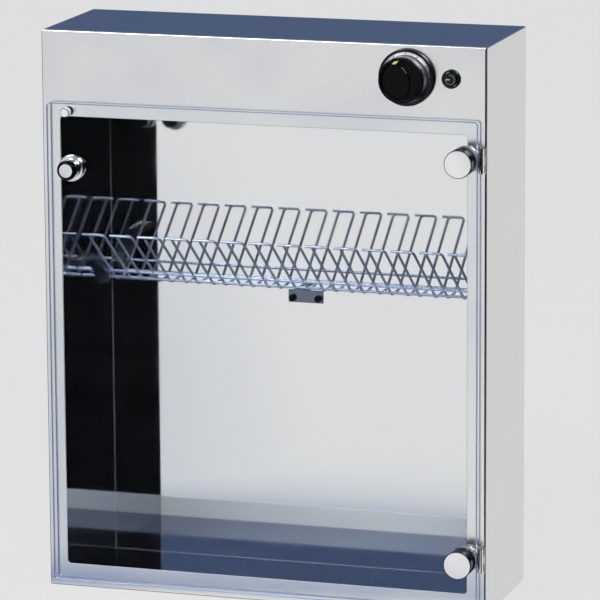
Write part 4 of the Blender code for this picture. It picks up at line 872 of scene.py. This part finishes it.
def makeFloor():
    f = floorLooks
    mesh = bmesh.new()
    bmesh.ops.create_grid(mesh, x_segments=1, y_segments=1, size=f["width"] / 2)
    data = bpy.data.meshes.new("floor")
    mesh.to_mesh(data)
    mesh.free()
    floor = bpy.data.objects.new("floor", data)
    scene.collection.objects.link(floor)
    floor.location.z = -f["drop"]

    # painted board, matt, and as pale as its colour where the camera or a bright metal sees it
    material, tree, shader = newMaterial("paleFloor", f["background"], 0.9)
    rays = addNode(tree, "ShaderNodeLightPath").outputs
    seen = addNode(tree, "ShaderNodeMath", {0: rays["Is Camera Ray"], 1: rays["Is Glossy Ray"]},
                   operation="MAXIMUM")
    seen = addNode(tree, "ShaderNodeMath", {0: seen, 1: rays["Is Transmission Ray"]}, operation="MAXIMUM")
    mirrored = addNode(tree, "ShaderNodeMath", {0: rays["Glossy Depth"], 1: 0.5}, operation="GREATER_THAN")
    twice = addNode(tree, "ShaderNodeMath", {0: rays["Glossy Depth"], 1: 1.5}, operation="GREATER_THAN")
    share = addNode(tree, "ShaderNodeMath", {0: mirrored, 1: 1 - f["shadowShare"]}, operation="MAXIMUM")
    share = addNode(tree, "ShaderNodeMath", {0: seen, 1: share}, operation="MULTIPLY")

    # painted reflection: a black patch in the floor in front at the right, which only mirrored rays see, so
    # that only polished steel and chrome show it
    axes = objectAxes(tree)
    ahead = addNode(tree, "ShaderNodeMath", {0: axes["X"], 1: f["aheadSlant"], 2: axes["Y"]},
                    operation="MULTIPLY_ADD")
    ahead = addNode(tree, "ShaderNodeMapRange", {"Value": ahead, **fromReach(f["aheadReach"])})
    darkPatch = addNode(tree, "ShaderNodeMath", {0: axes["Y"], 1: f["darkPatchSlant"], 2: axes["X"]},
                   operation="MULTIPLY_ADD")
    darkPatch = addNode(tree, "ShaderNodeMapRange", {"Value": darkPatch, **fromReach(f["darkPatchReach"])})
    darkPatch = addNode(tree, "ShaderNodeMath", {0: darkPatch, 1: ahead}, operation="MULTIPLY")
    darkPatch = addNode(tree, "ShaderNodeMath", {0: darkPatch, 1: mirrored}, operation="MULTIPLY")
    # where a ray was mirrored twice, as in the side walls, the painted black patch reaches closer to the
    # cabinet too
    inner = addNode(tree, "ShaderNodeMath", {0: axes["Y"], 1: f["innerSlant"], 2: axes["X"]},
                    operation="MULTIPLY_ADD")
    inner = addNode(tree, "ShaderNodeMapRange", {"Value": inner, **fromReach(f["innerReach"])})
    inner = addNode(tree, "ShaderNodeMath", {0: inner, 1: ahead}, operation="MULTIPLY")
    inner = addNode(tree, "ShaderNodeMath", {0: inner, 1: twice}, operation="MULTIPLY")
    darkPatch = addNode(tree, "ShaderNodeMath", {0: darkPatch, 1: inner}, operation="MAXIMUM")

    # painted reflection: the ground that the steel mirrors turns bluish close to the cabinet, most of all at
    # the left
    near = addNode(tree, "ShaderNodeMapRange", {"Value": axes["Y"], **fromReach(f["nearReach"])})
    near = addNode(tree, "ShaderNodeMath", {0: near, 1: f["nearPower"]}, operation="POWER")
    near = addNode(tree, "ShaderNodeMath", {0: near, 1: f["nearTint"]}, operation="MULTIPLY")
    left = addNode(tree, "ShaderNodeMath", {0: axes["Y"], 1: f["leftSlant"], 2: axes["X"]},
                   operation="MULTIPLY_ADD")
    left = addNode(tree, "ShaderNodeMapRange", {"Value": left, **fromReach(f["leftReach"])})
    fade = addNode(tree, "ShaderNodeMapRange", {"Value": axes["Y"], "To Min": f["leftTint"][0],
                                                "To Max": f["leftTint"][1], **fromReach(f["leftFade"])})
    left = addNode(tree, "ShaderNodeMath", {0: left, 1: fade}, operation="MULTIPLY")
    tint = addNode(tree, "ShaderNodeMath", {0: near, 1: left}, operation="MAXIMUM")
    tint = addNode(tree, "ShaderNodeMath", {0: tint, 1: ahead}, operation="MULTIPLY")

    ground = addNode(tree, "ShaderNodeMix", {"Factor": tint, "A": linearColour(f["mirroredGround"]),
                                             "B": linearColour(f["tint"])}, data_type="RGBA")
    ground = addNode(tree, "ShaderNodeMix", {"Factor": mirrored, "A": linearColour(f["background"]),
                                             "B": ground}, data_type="RGBA")
    ground = addNode(tree, "ShaderNodeMix", {"Factor": darkPatch, "A": ground,
                                             "B": linearColour(f["black"])}, data_type="RGBA")
    glow = addNode(tree, "ShaderNodeEmission", {"Color": ground, "Strength": 1.0})
    blend = addNode(tree, "ShaderNodeMixShader", {0: share, 1: shader, 2: glow})
    tree.links.new(blend.outputs[0], tree.nodes["Material Output"].inputs["Surface"])
    data.materials.append(material)


worldLooks = {
    "horizon": "3d5378", "top": "c8ccd2", "horizonAt": 0.2, "topAt": 0.65, "strength": 1.0,
    "unlitSide": (-0.1, 0.12), "unlitAhead": (0.15, -0.15), "unlitHeight": (0.5, 0.3),
}


def makeWorld():
    w = worldLooks
    world = bpy.data.worlds.new("studio")
    world.use_nodes = True
    tree = world.node_tree
    place = addNode(tree, "ShaderNodeTexCoord").outputs["Generated"]
    axes = addNode(tree, "ShaderNodeSeparateXYZ", {0: place}).outputs
    sky = addNode(tree, "ShaderNodeValToRGB", {0: axes["Z"]})
    low, high = sky.color_ramp.elements
    low.position, low.color = w["horizonAt"], linearColour(w["horizon"])
    high.position, high.color = w["topAt"], linearColour(w["top"])
    # unlit part of the room in front at the right, seen as black in the chrome
    side = addNode(tree, "ShaderNodeMapRange", {"Value": axes["X"], **fromReach(w["unlitSide"])})
    ahead = addNode(tree, "ShaderNodeMapRange", {"Value": axes["Y"], **fromReach(w["unlitAhead"])})
    height = addNode(tree, "ShaderNodeMapRange", {"Value": axes["Z"], **fromReach(w["unlitHeight"])})
    dark = addNode(tree, "ShaderNodeMath", {0: side, 1: ahead}, operation="MULTIPLY")
    dark = addNode(tree, "ShaderNodeMath", {0: dark, 1: height}, operation="MULTIPLY")
    room = addNode(tree, "ShaderNodeMix", {"Factor": dark, "A": sky,
                                           "B": linearColour(floorLooks["black"])}, data_type="RGBA")
    rays = addNode(tree, "ShaderNodeLightPath").outputs
    picture = addNode(tree, "ShaderNodeMix", {"Factor": rays["Is Camera Ray"], "A": room,
                                              "B": linearColour(floorLooks["background"])}, data_type="RGBA")
    background = tree.nodes["Background"]
    tree.links.new(picture.outputs["Result"], background.inputs["Color"])
    background.inputs["Strength"].default_value = w["strength"]
    scene.world = world


softboxes = {
    "leftSoftbox": {"place": (-2.4, -3.6, 3.4), "aim": (0, 0, 0.3), "width": 2.2, "power": 110},
    "rightSoftbox": {"place": (1.5, -4.0, 2.9), "aim": (0, 0, 0.4), "width": 1.7, "power": 80},
}


def makeLamp(name, place, aim, width, power):
    data = bpy.data.lights.new(name, "AREA")
    data.shape = "SQUARE"
    data.size = width
    data.energy = power
    lamp = bpy.data.objects.new(name, data)
    scene.collection.objects.link(lamp)
    lamp.location = place
    lamp.rotation_mode = "QUATERNION"
    lamp.rotation_quaternion = (Vector(aim) - Vector(place)).to_track_quat("-Z", "Y")
    lamp.visible_camera = False


makeFloor()
makeWorld()
for lampName, lampLook in softboxes.items():
    makeLamp(lampName, **lampLook)
scene.view_settings.view_transform = "Standard"
print("camera and studio made")
